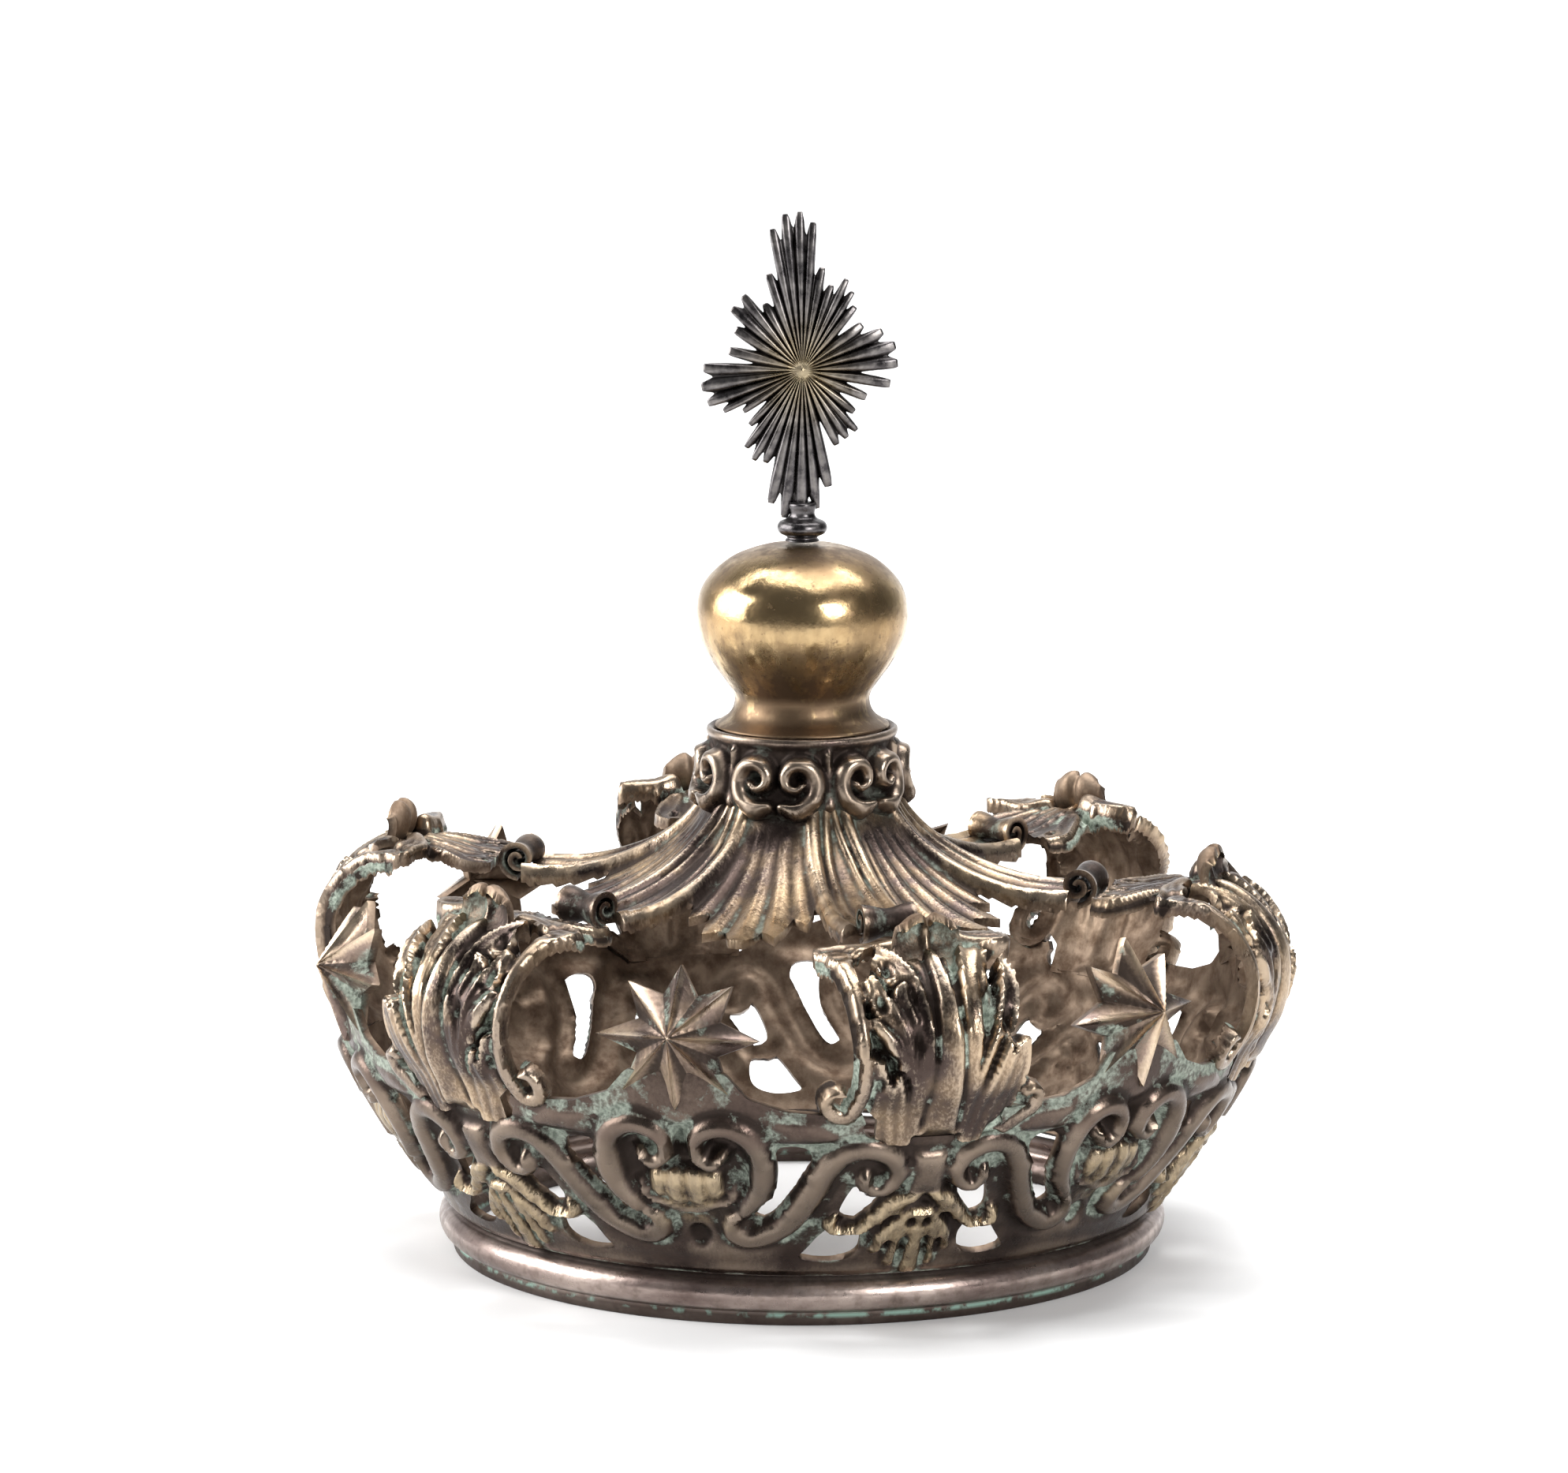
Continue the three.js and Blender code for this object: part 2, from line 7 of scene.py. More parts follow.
import bpy
import numpy as np
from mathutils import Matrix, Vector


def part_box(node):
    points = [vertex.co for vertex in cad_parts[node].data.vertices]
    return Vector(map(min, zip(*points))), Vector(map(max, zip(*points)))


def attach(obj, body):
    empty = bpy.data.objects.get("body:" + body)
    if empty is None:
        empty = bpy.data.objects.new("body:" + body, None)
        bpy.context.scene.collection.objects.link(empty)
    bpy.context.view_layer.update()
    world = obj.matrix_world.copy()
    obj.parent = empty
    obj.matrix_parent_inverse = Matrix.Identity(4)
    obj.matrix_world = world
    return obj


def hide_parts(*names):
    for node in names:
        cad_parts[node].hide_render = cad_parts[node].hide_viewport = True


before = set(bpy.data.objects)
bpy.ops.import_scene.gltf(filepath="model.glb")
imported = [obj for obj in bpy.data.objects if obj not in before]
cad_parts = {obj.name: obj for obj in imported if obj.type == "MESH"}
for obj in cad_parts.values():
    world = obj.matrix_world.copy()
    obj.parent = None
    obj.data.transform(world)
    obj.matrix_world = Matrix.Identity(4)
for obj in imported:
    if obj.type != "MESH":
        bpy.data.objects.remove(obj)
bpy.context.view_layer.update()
MM = 0.001

# ---- Driving dimensions, as in the solids ----

SECTORS = 6
SECTOR = 360 / SECTORS
ARCH_BEARINGS = [16, 74, 136, 196, 256, 314]
STAR_BEARINGS = [-15, 44, 104, 166, 226, 285]
SHEET = 1.2
WALL_PROFILE = [
    (53.6, 7.7), (56.6, 12), (61, 18.5), (65.8, 26), (69, 33),
    (70.3, 41), (69.6, 46), (67.6, 51), (64.6, 56),
]
ARCH_PROFILE = [
    (67.4, 30.3), (70, 35.5), (72.4, 40), (73.4, 45), (72.8, 49.5), (70, 53.8),
    (65.8, 56.8), (61, 57.9), (56, 57.2), (51.5, 56), (47.3, 55.6),
]
# How much higher each arch stands, how far it sways, and which hand its long bead is on.
ARCH_LIFTS = [-1.6, 0.2, 0.5, 1, 1.4, -0.6]
ARCH_WOBBLES = [0.5, -0.6, 0.3, -0.4, 0.6, -0.3]
BEAD_HANDS = [1, 1, -1, 1, -1, -1]
RIB_LINE = [(14.7, 68.2), (16.5, 65.4), (19.6, 62.3), (24.4, 59.2), (30.2, 56.9), (36.5, 55.6), (43, 55.6)]


# ---- Curves ----

def spline(rows, count, closed=False):
    """Points on a smooth curve through rows of numbers."""
    p = np.asarray(rows, float)
    n = len(p)
    t = np.linspace(0, n if closed else n - 1, count, endpoint=not closed)
    k = np.minimum(t.astype(int), n - 1 if closed else n - 2)
    f = (t - k)[:, None]
    if closed:
        a, b, c, d = p[(k - 1) % n], p[k % n], p[(k + 1) % n], p[(k + 2) % n]
    else:
        q = np.vstack([2 * p[0] - p[1], p, 2 * p[-1] - p[-2]])
        a, b, c, d = q[k], q[k + 1], q[k + 2], q[k + 3]
    return 0.5 * (2 * b + (c - a) * f + (2 * a - 5 * b + 4 * c - d) * f**2 + (3 * b - a - 3 * c + d) * f**3)


class Profile:
    """A radius and height line that can be walked by distance in millimetres."""

    def __init__(self, rows):
        self.points = spline(rows, 600)
        steps = np.linalg.norm(np.diff(self.points, axis=0), axis=1)
        self.distance = np.concatenate([[0], np.cumsum(steps)])
        self.length = self.distance[-1]
        tangent = np.gradient(self.points, axis=0)
        self.tangent = tangent / np.linalg.norm(tangent, axis=1)[:, None]

    def at(self, distance, lift=0.0):
        """Radius and height there, lifted off the line to the outside."""
        r, z = (np.interp(distance, self.distance, self.points[:, i]) for i in (0, 1))
        tr, tz = (np.interp(distance, self.distance, self.tangent[:, i]) for i in (0, 1))
        return r + tz * lift, z - tr * lift


wall = Profile(WALL_PROFILE)
arch_line = Profile(ARCH_PROFILE)
rib_line = Profile(RIB_LINE)


def polar(radius, bearing, height):
    a = np.radians(bearing)
    radius, a, height = np.broadcast_arrays(radius, a, height)
    return np.stack([radius * np.sin(a), -radius * np.cos(a), height], -1)


def round_bearings(count):
    return np.linspace(0, 360, count, endpoint=False)


def true_bearing(nominal):
    """Even steps of half a sector to the bearings where arches and stars really stand."""
    half = SECTOR / 2
    stand = [b for pair in zip(ARCH_BEARINGS, STAR_BEARINGS[1:] + [STAR_BEARINGS[0] + 360]) for b in pair]
    turn = np.floor(nominal / 360)
    knots = half * np.arange(2 * SECTORS + 1)
    return 360 * turn + np.interp(nominal - 360 * turn, knots, stand + [stand[0] + 360])


def surface_of(profile):
    """Places points that are drawn by nominal bearing and distance along a profile."""
    def place(nominal, distance, lift):
        r, z = profile.at(distance, lift)
        return polar(r, true_bearing(nominal), z)

    return place


# ---- Drawing on a surface ----

def stroke(x, y, rows, count=36):
    """How far points lie from a line of (x, y, half width) rows, as a share of the half width,
    with the place along it from 0 to 1 and the distance left to its edge."""
    line = spline(rows, count)
    best = np.full(x.shape, 1e9)
    along = np.zeros(x.shape)
    half = np.ones(x.shape)
    for i in range(count - 1):
        (ax, ay, aw), (bx, by, bw) = line[i], line[i + 1]
        dx, dy = bx - ax, by - ay
        t = np.clip(((x - ax) * dx + (y - ay) * dy) / (dx * dx + dy * dy + 1e-12), 0, 1)
        d = np.hypot(x - ax - t * dx, y - ay - t * dy)
        w = aw + t * (bw - aw)
        near = d / w < best
        best = np.where(near, d / w, best)
        along = np.where(near, (i + t) / (count - 1), along)
        half = np.where(near, w, half)
    return best, along, (1 - best) * half


def outside(x, y, corners):
    """Distance from a rounded outline, positive outside it."""
    line = spline(corners, 6 * len(corners), closed=True)
    best = np.full(x.shape, 1e9)
    inside = np.zeros(x.shape, bool)
    for (ax, ay), (bx, by) in zip(line, np.roll(line, -1, axis=0)):
        dx, dy = bx - ax, by - ay
        t = np.clip(((x - ax) * dx + (y - ay) * dy) / (dx * dx + dy * dy + 1e-12), 0, 1)
        best = np.minimum(best, np.hypot(x - ax - t * dx, y - ay - t * dy))
        crosses = (ay > y) != (by > y)
        inside ^= crosses & (x < ax + (y - ay) * dx / (dy if abs(dy) > 1e-9 else 1e-9))
    return np.where(inside, -best, best)


def laid_on(h, t, top, trench):
    """A raised stroke laid over what is there, with a trench beside it."""
    return np.where(t < 1, np.maximum(h * 0.3, top), h - trench)


def dome(t):
    """Height of a round band across its half width."""
    return np.sqrt(np.clip(1 - t * t, 0, 1))


def bump(d, width):
    return np.exp(-((d / width) ** 2))


def ease(t):
    t = np.clip(t, 0, 1)
    return t * t * (3 - 2 * t)


def soften(h, times, wrap):
    """Blurs a drawing a little along both ways."""
    for _ in range(times):
        for axis in (0, 1):
            if axis == 0 and wrap:
                h = (np.roll(h, 1, 0) + 2 * h + np.roll(h, -1, 0)) / 4
            else:
                p = np.pad(h, [(1, 1) if i == axis else (0, 0) for i in (0, 1)], mode="edge")
                sides = (p[:-2] + p[2:]) if axis == 0 else (p[:, :-2] + p[:, 2:])
                h = (sides + 2 * h) / 4
    return h


# ---- Meshes ----

def added(name, data):
    thing = bpy.data.objects.new(name, data)
    bpy.context.scene.collection.objects.link(thing)
    return thing


def make(name, points, faces, material, node, slot, sharp=50, **attributes):
    mesh = bpy.data.meshes.new(name)
    mesh.from_pydata((points * MM).tolist(), [], faces)
    mesh.validate()
    for key, values in attributes.items():
        layer = mesh.attributes.new(key, "FLOAT", "POINT")
        layer.data.foreach_set("value", np.asarray(values, np.float32))
    mesh.shade_smooth()
    mesh.set_sharp_from_angle(angle=math.radians(sharp))
    mesh.materials.append(material)
    piece = added(name, mesh)
    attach(piece, "root")
    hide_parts(node)


def nothing(u, v):
    return 0 * u


def snapped(U, V, D, du, dv):
    """Moves the grid points beside a sheet's edge onto it; D is how far inside each one is."""
    gu, gv = np.gradient(D, du, dv)
    reach = np.clip(-D / (gu * gu + gv * gv + 1e-9), -3, 3)
    mu, mv = reach * gu, reach * gv
    near = (np.abs(mu) < 0.7 * du) & (np.abs(mv) < 0.7 * dv)
    return np.where(near, U + mu, U), np.where(near, V + mv, V), np.where(near, 0, D)


def sheet_faces(keep, wrap):
    """Front, back and rim faces over the kept points of a grid, whose back points follow on."""
    n, m = keep.shape
    count = n * m
    rows = np.arange(n if wrap else n - 1)
    after = (rows + 1) % n
    index = np.arange(count).reshape(n, m)
    a, b = index[rows][:, :-1], index[after][:, :-1]
    c, d = index[after][:, 1:], index[rows][:, 1:]
    quads = np.stack([a, b, c, d], -1).reshape(-1, 4)
    held = keep.reshape(-1)[quads]
    three = held.sum(1) == 3
    corners = [q[h].tolist() for q, h in zip(quads[three], held[three])]
    fronts = [tuple(f) for f in quads[held.all(1)].tolist() + corners]
    backs = [tuple(i + count for i in reversed(f)) for f in fronts]
    edges = dict.fromkeys(edge for f in fronts for edge in zip(f, f[1:] + f[:1]))
    rim = [(p, q) for p, q in edges if (q, p) not in edges]
    return fronts + backs + [(q, p, p + count, q + count) for p, q in rim]


# How many times the relief is blurred to tell hollows, wide hollows and the back of the sheet,
# and the least share of the sheet's thickness that is left.
HOLLOW_BLUR, WIDE_BLUR, BACK_BLUR = 5, 24, 6
THINNEST = 0.45


def sheet(name, u, v, place, drawing, inside, material, node, wrap=False, flip=False, **facts):
    """Sheet metal over the u, v grid where inside(u, v) is positive. The front is raised by
    drawing(u, v); the back follows it more softly, as beaten metal does. Facts are more fields
    for the material, and flip turns the faces of a mirrored sheet the right way out."""
    U, V = np.meshgrid(u, v, indexing="ij")
    U, V, D = snapped(U, V, inside(U, V), u[1] - u[0], v[1] - v[0])
    H = soften(drawing(U, V), 1, wrap)
    hollow = np.clip((soften(H, HOLLOW_BLUR, wrap) - H) * 1.3, -1, 1)
    wide = np.clip((soften(H, WIDE_BLUR, wrap) - H) * 0.8, -1, 1)
    back = np.minimum(soften(H, BACK_BLUR, wrap) - SHEET, H - THINNEST * SHEET)
    faces = sheet_faces(D >= 0, wrap)
    if flip:
        faces = [f[::-1] for f in faces]
    used = np.unique(np.concatenate([np.array(f) for f in faces]))
    rename = np.full(2 * U.size, -1)
    rename[used] = np.arange(len(used))
    faces = [tuple(rename[list(f)].tolist()) for f in faces]
    points = np.concatenate([place(U, V, H).reshape(-1, 3), place(U, V, back).reshape(-1, 3)])[used]

    def both(front, rear):
        return np.concatenate([front.reshape(-1), rear.reshape(-1)])[used]

    fields = {"pale": nothing, "grime": nothing, **facts}
    fields = {key: both(field(U, V), 0 * U) for key, field in fields.items()}
    edge = np.exp(-np.clip(D, 0, 9) / 0.8)
    make(
        name, points, faces, material, node, "silver",
        hollow=both(hollow, -0.3 * hollow), wide=both(wide, 0 * wide),
        edge=both(edge, edge), rear=both(0 * D, 1 + 0 * D), **fields,
    )


def plate_faces(spokes, rings):
    """Faces of a closed plate drawn in spokes and rings: its front points come first, then its
    back points, then the middle of the front and the middle of the back."""
    total = spokes * rings
    faces = []
    for i in range(spokes):
        p, q = i * rings, (i + 1) % spokes * rings
        faces += [(2 * total, p, q), (2 * total + 1, total + q, total + p)]
        for k in range(rings - 1):
            front = (p + k, p + k + 1, q + k + 1, q + k)
            faces += [front, tuple(total + corner for corner in reversed(front))]
        p, q = p + rings - 1, q + rings - 1
        faces.append((p, total + p, total + q, q))
    return faces


def turned(name, profile, segments, material, node, slot, dents=0.0):
    """A closed ring or shell spun about the crown's middle line from (radius, height) rows, out
    of round by about dents percent."""
    p = np.asarray(profile, float)
    bearing = round_bearings(segments)
    wave = dents * (np.sin(np.radians(bearing) * 2 + 0.6) + 0.6 * np.sin(np.radians(bearing) * 5 + 2))
    r = p[:, 0][:, None] * (1 + wave[None, :] / 100)
    points = polar(r, bearing[None, :], p[:, 1][:, None]).reshape(-1, 3)
    n, m = r.shape
    index = np.arange(n * m).reshape(n, m)
    right, up = np.roll(index, -1, 1), np.roll(index, -1, 0)
    faces = np.stack([index, right, np.roll(up, -1, 1), up], -1).reshape(-1, 4).tolist()
    make(name, points, faces, material, node, slot, sharp=60)


# ---- Materials ----

class Nodes:
    """Short calls for building one material's node tree."""

    def __init__(self, name):
        self.material = bpy.data.materials.new(name)
        self.material.use_nodes = True
        self.tree = self.material.node_tree
        self.shader = self.tree.nodes["Principled BSDF"]
        self.coords = self.tree.nodes.new("ShaderNodeTexCoord").outputs["Object"]

    def link(self, source, target):
        if isinstance(source, (int, float)):
            target.default_value = source
        elif isinstance(source, tuple):
            target.default_value = (*source, 1)
        else:
            self.tree.links.new(source, target)

    def new(self, kind, inputs):
        node = self.tree.nodes.new("ShaderNode" + kind)
        for key, source in inputs.items():
            self.link(source, node.inputs[key])
        return node

    def noise(self, scale, detail=4, rough=0.55, stretch=None):
        source = self.coords
        if stretch:
            mapping = self.new("Mapping", {"Vector": source})
            mapping.inputs["Scale"].default_value = stretch
            source = mapping.outputs["Vector"]
        inputs = {"Scale": scale, "Detail": detail, "Roughness": rough, "Vector": source}
        return self.new("TexNoise", inputs).outputs["Fac"]

    def attribute(self, name):
        node = self.new("Attribute", {})
        node.attribute_name = name
        return node.outputs["Fac"]

    def sheltered(self, distance):
        """1 in the open, towards 0 where other metal stands close by."""
        node = self.new("AmbientOcclusion", {"Distance": distance})
        node.samples = 5
        return node.outputs["AO"]

    def height(self):
        """Metres above the floor."""
        return self.new("SeparateXYZ", {"Vector": self.coords}).outputs["Z"]

    def math(self, operation, a, b, clamp):
        node = self.new("Math", {0: a, 1: b})
        node.operation = operation
        node.use_clamp = clamp
        return node.outputs[0]

    def plus(self, a, b, clamp=False):
        return self.math("ADD", a, b, clamp)

    def minus(self, a, b, clamp=False):
        return self.math("SUBTRACT", a, b, clamp)

    def times(self, a, b, clamp=False):
        return self.math("MULTIPLY", a, b, clamp)

    def span(self, value, low, high, to_low=0.0, to_high=1.0):
        """The value between low and high, carried over to between to_low and to_high."""
        bounds = {"From Min": low, "From Max": high, "To Min": to_low, "To Max": to_high}
        return self.new("MapRange", {**bounds, "Value": value}).outputs["Result"]

    def mix(self, share, a, b):
        node = self.new("Mix", {})
        node.data_type = "RGBA"
        for key, source in {"Factor": share, "A": a, "B": b}.items():
            self.link(source, node.inputs[key])
        return node.outputs["Result"]

    def raise_by(self, height, strength, distance, normal=None):
        inputs = {"Strength": strength, "Distance": distance, "Height": height}
        if normal is not None:
            inputs["Normal"] = normal
        return self.new("Bump", inputs).outputs["Normal"]

    def finish(self, color, metallic, roughness, normal):
        surface = {"Base Color": color, "Metallic": metallic, "Roughness": roughness, "Normal": normal}
        for key, source in surface.items():
            self.link(source, self.shader.inputs[key])
        return self.material


RUBBED_SILVER = (0.62, 0.5, 0.38)
BRASS_DARK, BRASS_LIGHT, BRASS_CREST = (0.075, 0.054, 0.032), (0.28, 0.213, 0.13), (0.44, 0.35, 0.23)
OLD_GILDING = (0.6, 0.41, 0.2)
# The second colour is the near black of tarnish in hollows and of painted shade where other metal stands
# close by.
GRIME, TARNISH_AND_SHADE_BLACK = (0.085, 0.06, 0.05), (0.02, 0.013, 0.01)
INNER_LIGHT, INNER_DARK, INNER_HOLLOW = (0.27, 0.2, 0.145), (0.13, 0.085, 0.058), (0.1, 0.065, 0.045)
VERDIGRIS_DARK, VERDIGRIS_PALE = (0.14, 0.175, 0.14), (0.42, 0.48, 0.4)


def chased_silver(name, green, gold, grain, bare, tone):
    """Silver with a brown-violet tarnish: paler on the crests, near black in the hollows, with painted
    shade where other metal stands close by, crusted with verdigris in hollows and along cut edges.
    gold is how much old gilding is left, and bare how far the crests are rubbed; tone darkens or
    lightens the tarnish."""
    n = Nodes(name)
    toned = lambda r, g, b: (r * tone, g * tone, b * tone)
    # On the stars this attribute also carries painted light and shade on alternate facets and a painted
    # highlight on the crests.
    hollow = n.attribute("hollow")
    wide = n.attribute("wide")
    edge = n.attribute("edge")
    rear = n.attribute("rear")
    front = n.minus(1.0, rear)
    # Painted shade: ambient occlusion darkens the front where other metal stands close by.
    shelter = n.times(n.span(n.sheltered(0.005), 0.3, 0.95, 1, 0), front)
    broad = n.noise(75, 4)
    middle = n.noise(300, 5, 0.6)
    fine = n.noise(1500, 3)
    grit = n.noise(2800, 2, 0.5, (1, 1, 0.55))
    depth = n.plus(hollow, n.times(wide, 0.6))
    tarnish = n.mix(n.span(broad, 0.38, 0.62), toned(0.075, 0.054, 0.047), toned(0.19, 0.145, 0.127))
    tarnish = n.mix(n.span(middle, 0.45, 0.7, 0, 0.5), tarnish, (0.045, 0.03, 0.025))
    rubbed = n.plus(n.times(depth, -1.0), n.span(broad, 0.35, 0.65, -0.3, 0.3))
    bright = n.span(n.plus(rubbed, n.span(grit, 0.4, 0.62, -0.16 * grain, 0.16 * grain)), 0.0, 0.6, 0, bare)
    color = n.mix(bright, tarnish, RUBBED_SILVER)
    furrows = n.noise(1100, 3, 0.6, (1, 1, 0.22))
    brass = n.mix(n.span(furrows, 0.42, 0.58), BRASS_DARK, BRASS_LIGHT)
    brass = n.mix(n.span(depth, 0.0, -0.35, 0, 0.6), brass, BRASS_CREST)
    pale = n.times(n.attribute("pale"), n.span(middle, 0.3, 0.55, 0.5, 1))
    color = n.mix(n.times(pale, 0.85), color, brass)
    color = n.mix(n.span(broad, 0.42, 0.66, 0, gold), color, OLD_GILDING)
    # Tarnish in the hollows plus painted shade where other metal stands close by, with a little noise.
    tarnish_and_shade = n.plus(n.plus(depth, n.times(shelter, 0.45)), n.span(fine, 0.3, 0.7, -0.08, 0.08))
    grime = n.times(n.attribute("grime"), n.span(middle, 0.3, 0.6, 0.6, 1))
    tarnish_and_shade = n.plus(tarnish_and_shade, n.times(grime, 0.22))
    color = n.mix(n.times(grime, 0.75), color, GRIME)
    # The colour goes near black with tarnish and with painted shade.
    shade = n.span(tarnish_and_shade, 0.06, 0.52, 0, 0.94)
    color = n.mix(shade, color, TARNISH_AND_SHADE_BLACK)
    inner = n.mix(n.span(middle, 0.4, 0.65), INNER_LIGHT, INNER_DARK)
    inner = n.mix(n.span(hollow, -0.1, -0.5, 0, 0.6), inner, INNER_HOLLOW)
    color = n.mix(n.times(rear, 0.85), color, inner)
    coated = n.span(n.attribute("grime"), 0.65, 0.9)
    patches = n.span(n.plus(n.noise(110, 6, 0.66), n.times(coated, 0.05)), 0.51, 0.57)
    lodged = n.plus(tarnish_and_shade, n.times(n.plus(edge, coated), 0.24))
    lodged = n.span(lodged, 0.3, 0.5)
    crust = n.times(n.times(patches, lodged, clamp=True), n.span(rear, 0, 1, green, 0.1), clamp=True)
    verdigris = n.mix(n.span(fine, 0.35, 0.65), VERDIGRIS_DARK, VERDIGRIS_PALE)
    color = n.mix(crust, color, verdigris)
    metallic = n.minus(n.span(shade, 0, 1, 1, 0.8), crust, clamp=True)
    rough = n.plus(n.span(middle, 0.3, 0.7, 0.22, 0.4), n.times(shade, 0.25))
    rough = n.plus(rough, n.times(rear, 0.28))
    rough = n.plus(rough, n.times(crust, 0.5), clamp=True)
    normal = n.raise_by(grit, 0.2 * grain, 0.0002)
    normal = n.raise_by(n.noise(600, 4), 0.2, 0.0004, normal)
    normal = n.raise_by(n.times(furrows, n.attribute("pale")), 0.6, 0.0005, normal)
    normal = n.raise_by(crust, 0.5, 0.0004, normal)
    return n.finish(color, metallic, rough, normal)


def gilding(name):
    """Polished gilding on the orb, rubbed, with dark stains near its top and its neck."""
    n = Nodes(name)
    z = n.height()
    low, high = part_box("orb")
    broad = n.noise(120, 5, 0.6)
    fine = n.noise(900, 4)
    color = n.mix(n.span(broad, 0.4, 0.65), (0.5, 0.36, 0.19), (0.33, 0.22, 0.11))
    top = n.span(z, high.z - 0.007, high.z)
    foot = n.span(z, low.z + 0.011, low.z + 0.004)
    stain = n.times(n.plus(top, foot, clamp=True), n.span(broad, 0.3, 0.55), clamp=True)
    streaks = n.noise(420, 4, 0.6, (1, 1, 0.25))
    belt = n.times(n.span(z, 0.099, 0.0925), n.span(streaks, 0.4, 0.62, 0, 0.6))
    stain = n.plus(stain, n.span(fine, 0.62, 0.72, 0, 0.5), clamp=True)
    stain = n.plus(stain, belt, clamp=True)
    rubs = n.noise(230, 5, 0.65)
    stain = n.plus(stain, n.span(rubs, 0.5, 0.7, 0, 0.5), clamp=True)
    color = n.mix(n.times(stain, 0.85), color, (0.1, 0.065, 0.045))
    rough = n.plus(n.span(broad, 0.35, 0.65, 0.14, 0.24), n.times(stain, 0.25))
    normal = n.raise_by(n.noise(160, 3), 0.12, 0.0006)
    normal = n.raise_by(fine, 0.12, 0.0003, normal)
    return n.finish(color, 1.0, rough, normal)


def plain_silver(name):
    """The smooth foot ring: brownish, darker under the moulding, with a thin green line."""
    n = Nodes(name)
    z = n.height()
    broad = n.noise(70, 4, 0.6, (1, 1, 2.5))
    middle = n.noise(420, 5, 0.6)
    color = n.mix(n.span(broad, 0.35, 0.65), (0.19, 0.14, 0.125), (0.43, 0.35, 0.31))
    color = n.mix(n.span(middle, 0.5, 0.72, 0, 0.6), color, (0.1, 0.07, 0.055))
    foot = n.span(z, 0.0026, 0.0014)
    seam = n.span(z, 0.0064, 0.0074)
    dark = n.plus(foot, seam, clamp=True)
    color = n.mix(n.times(dark, 0.85), color, (0.035, 0.025, 0.02))
    line = n.times(n.span(z, 0.0021, 0.0016), n.span(z, 0.001, 0.0015))
    crust = n.times(line, n.span(n.noise(260, 5), 0.5, 0.58), clamp=True)
    color = n.mix(crust, color, (0.2, 0.32, 0.26))
    metallic = n.minus(0.95, crust, clamp=True)
    rough = n.plus(n.span(middle, 0.3, 0.7, 0.24, 0.4), n.times(dark, 0.2))
    normal = n.raise_by(n.noise(240, 4, 0.6, (1, 1, 2)), 0.25, 0.0004)
    return n.finish(color, metallic, rough, normal)


def blackened_silver(name):
    """The cross: nearly black in the furrows, pale grey on the crests, yellowish at the middle."""
    n = Nodes(name)
    hollow = n.attribute("hollow")
    middle = n.attribute("middle")
    spots = n.noise(500, 5, 0.6)
    color = n.mix(n.span(spots, 0.35, 0.65), (0.05, 0.046, 0.048), (0.15, 0.14, 0.14))
    crest = n.span(n.plus(n.times(hollow, -1.0), n.span(spots, 0.3, 0.7, -0.3, 0.3)), 0.1, 0.7)
    color = n.mix(n.times(crest, 0.45), color, (0.4, 0.37, 0.34))
    color = n.mix(n.times(middle, 0.6), color, (0.5, 0.4, 0.24))
    color = n.mix(n.span(hollow, 0.05, 0.5, 0, 0.9), color, (0.015, 0.013, 0.012))
    rough = n.span(spots, 0.3, 0.7, 0.22, 0.4)
    normal = n.raise_by(spots, 0.2, 0.0003)
    return n.finish(color, 1.0, rough, normal)


band_silver = chased_silver("band_silver", green=0.6, gold=0.04, grain=0.4, bare=0.15, tone=0.46)
leaf_silver = chased_silver("leaf_silver", green=0.85, gold=0.3, grain=0.95, bare=0.53, tone=0.68)
canopy_silver = chased_silver("canopy_silver", green=0.4, gold=0.4, grain=1.0, bare=0.55, tone=0.85)
collar_silver = chased_silver("collar_silver", green=0.2, gold=0.05, grain=0.4, bare=0.35, tone=0.7)
star_silver = chased_silver("star_silver", green=0.7, gold=0.25, grain=0.4, bare=1.0, tone=1.55)
gilt = gilding("gilt")
ring_silver = plain_silver("ring_silver")
cross_silver = blackened_silver("cross_silver")


# ---- Foot ring ----

BEAD_R, BEAD_Z = 52.7, 4.5
BEAD_HALF, BORE_HALF = 2.5, 1.25


def foot_arc(radius, first, last, count):
    """Points round the middle of the foot's bead, between two angles in degrees."""
    turns = np.radians(np.linspace(first, last, count))
    return [(BEAD_R + radius * math.cos(a), BEAD_Z + radius * math.sin(a)) for a in turns]


def foot_ring():
    foot = [(51.5, 0.15), (51.7, 0), (52.9, 0), (53.1, 0.2), (53.15, 1.0), (53.1, 1.9)]
    top = [(53.1, 7.35), (52.8, 7.4), (51.9, 7.4), (51.8, 7)]
    outer = foot + foot_arc(BEAD_HALF, -62, 75, 14) + top
    inner = foot_arc(BORE_HALF, 70, -70, 7) + [(51.6, 1.9), (51.45, 1.2)]
    turned("foot_moulding", outer + inner, 200, ring_silver, "foot_ring", "silver", 0.06)


# ---- Circlet ----

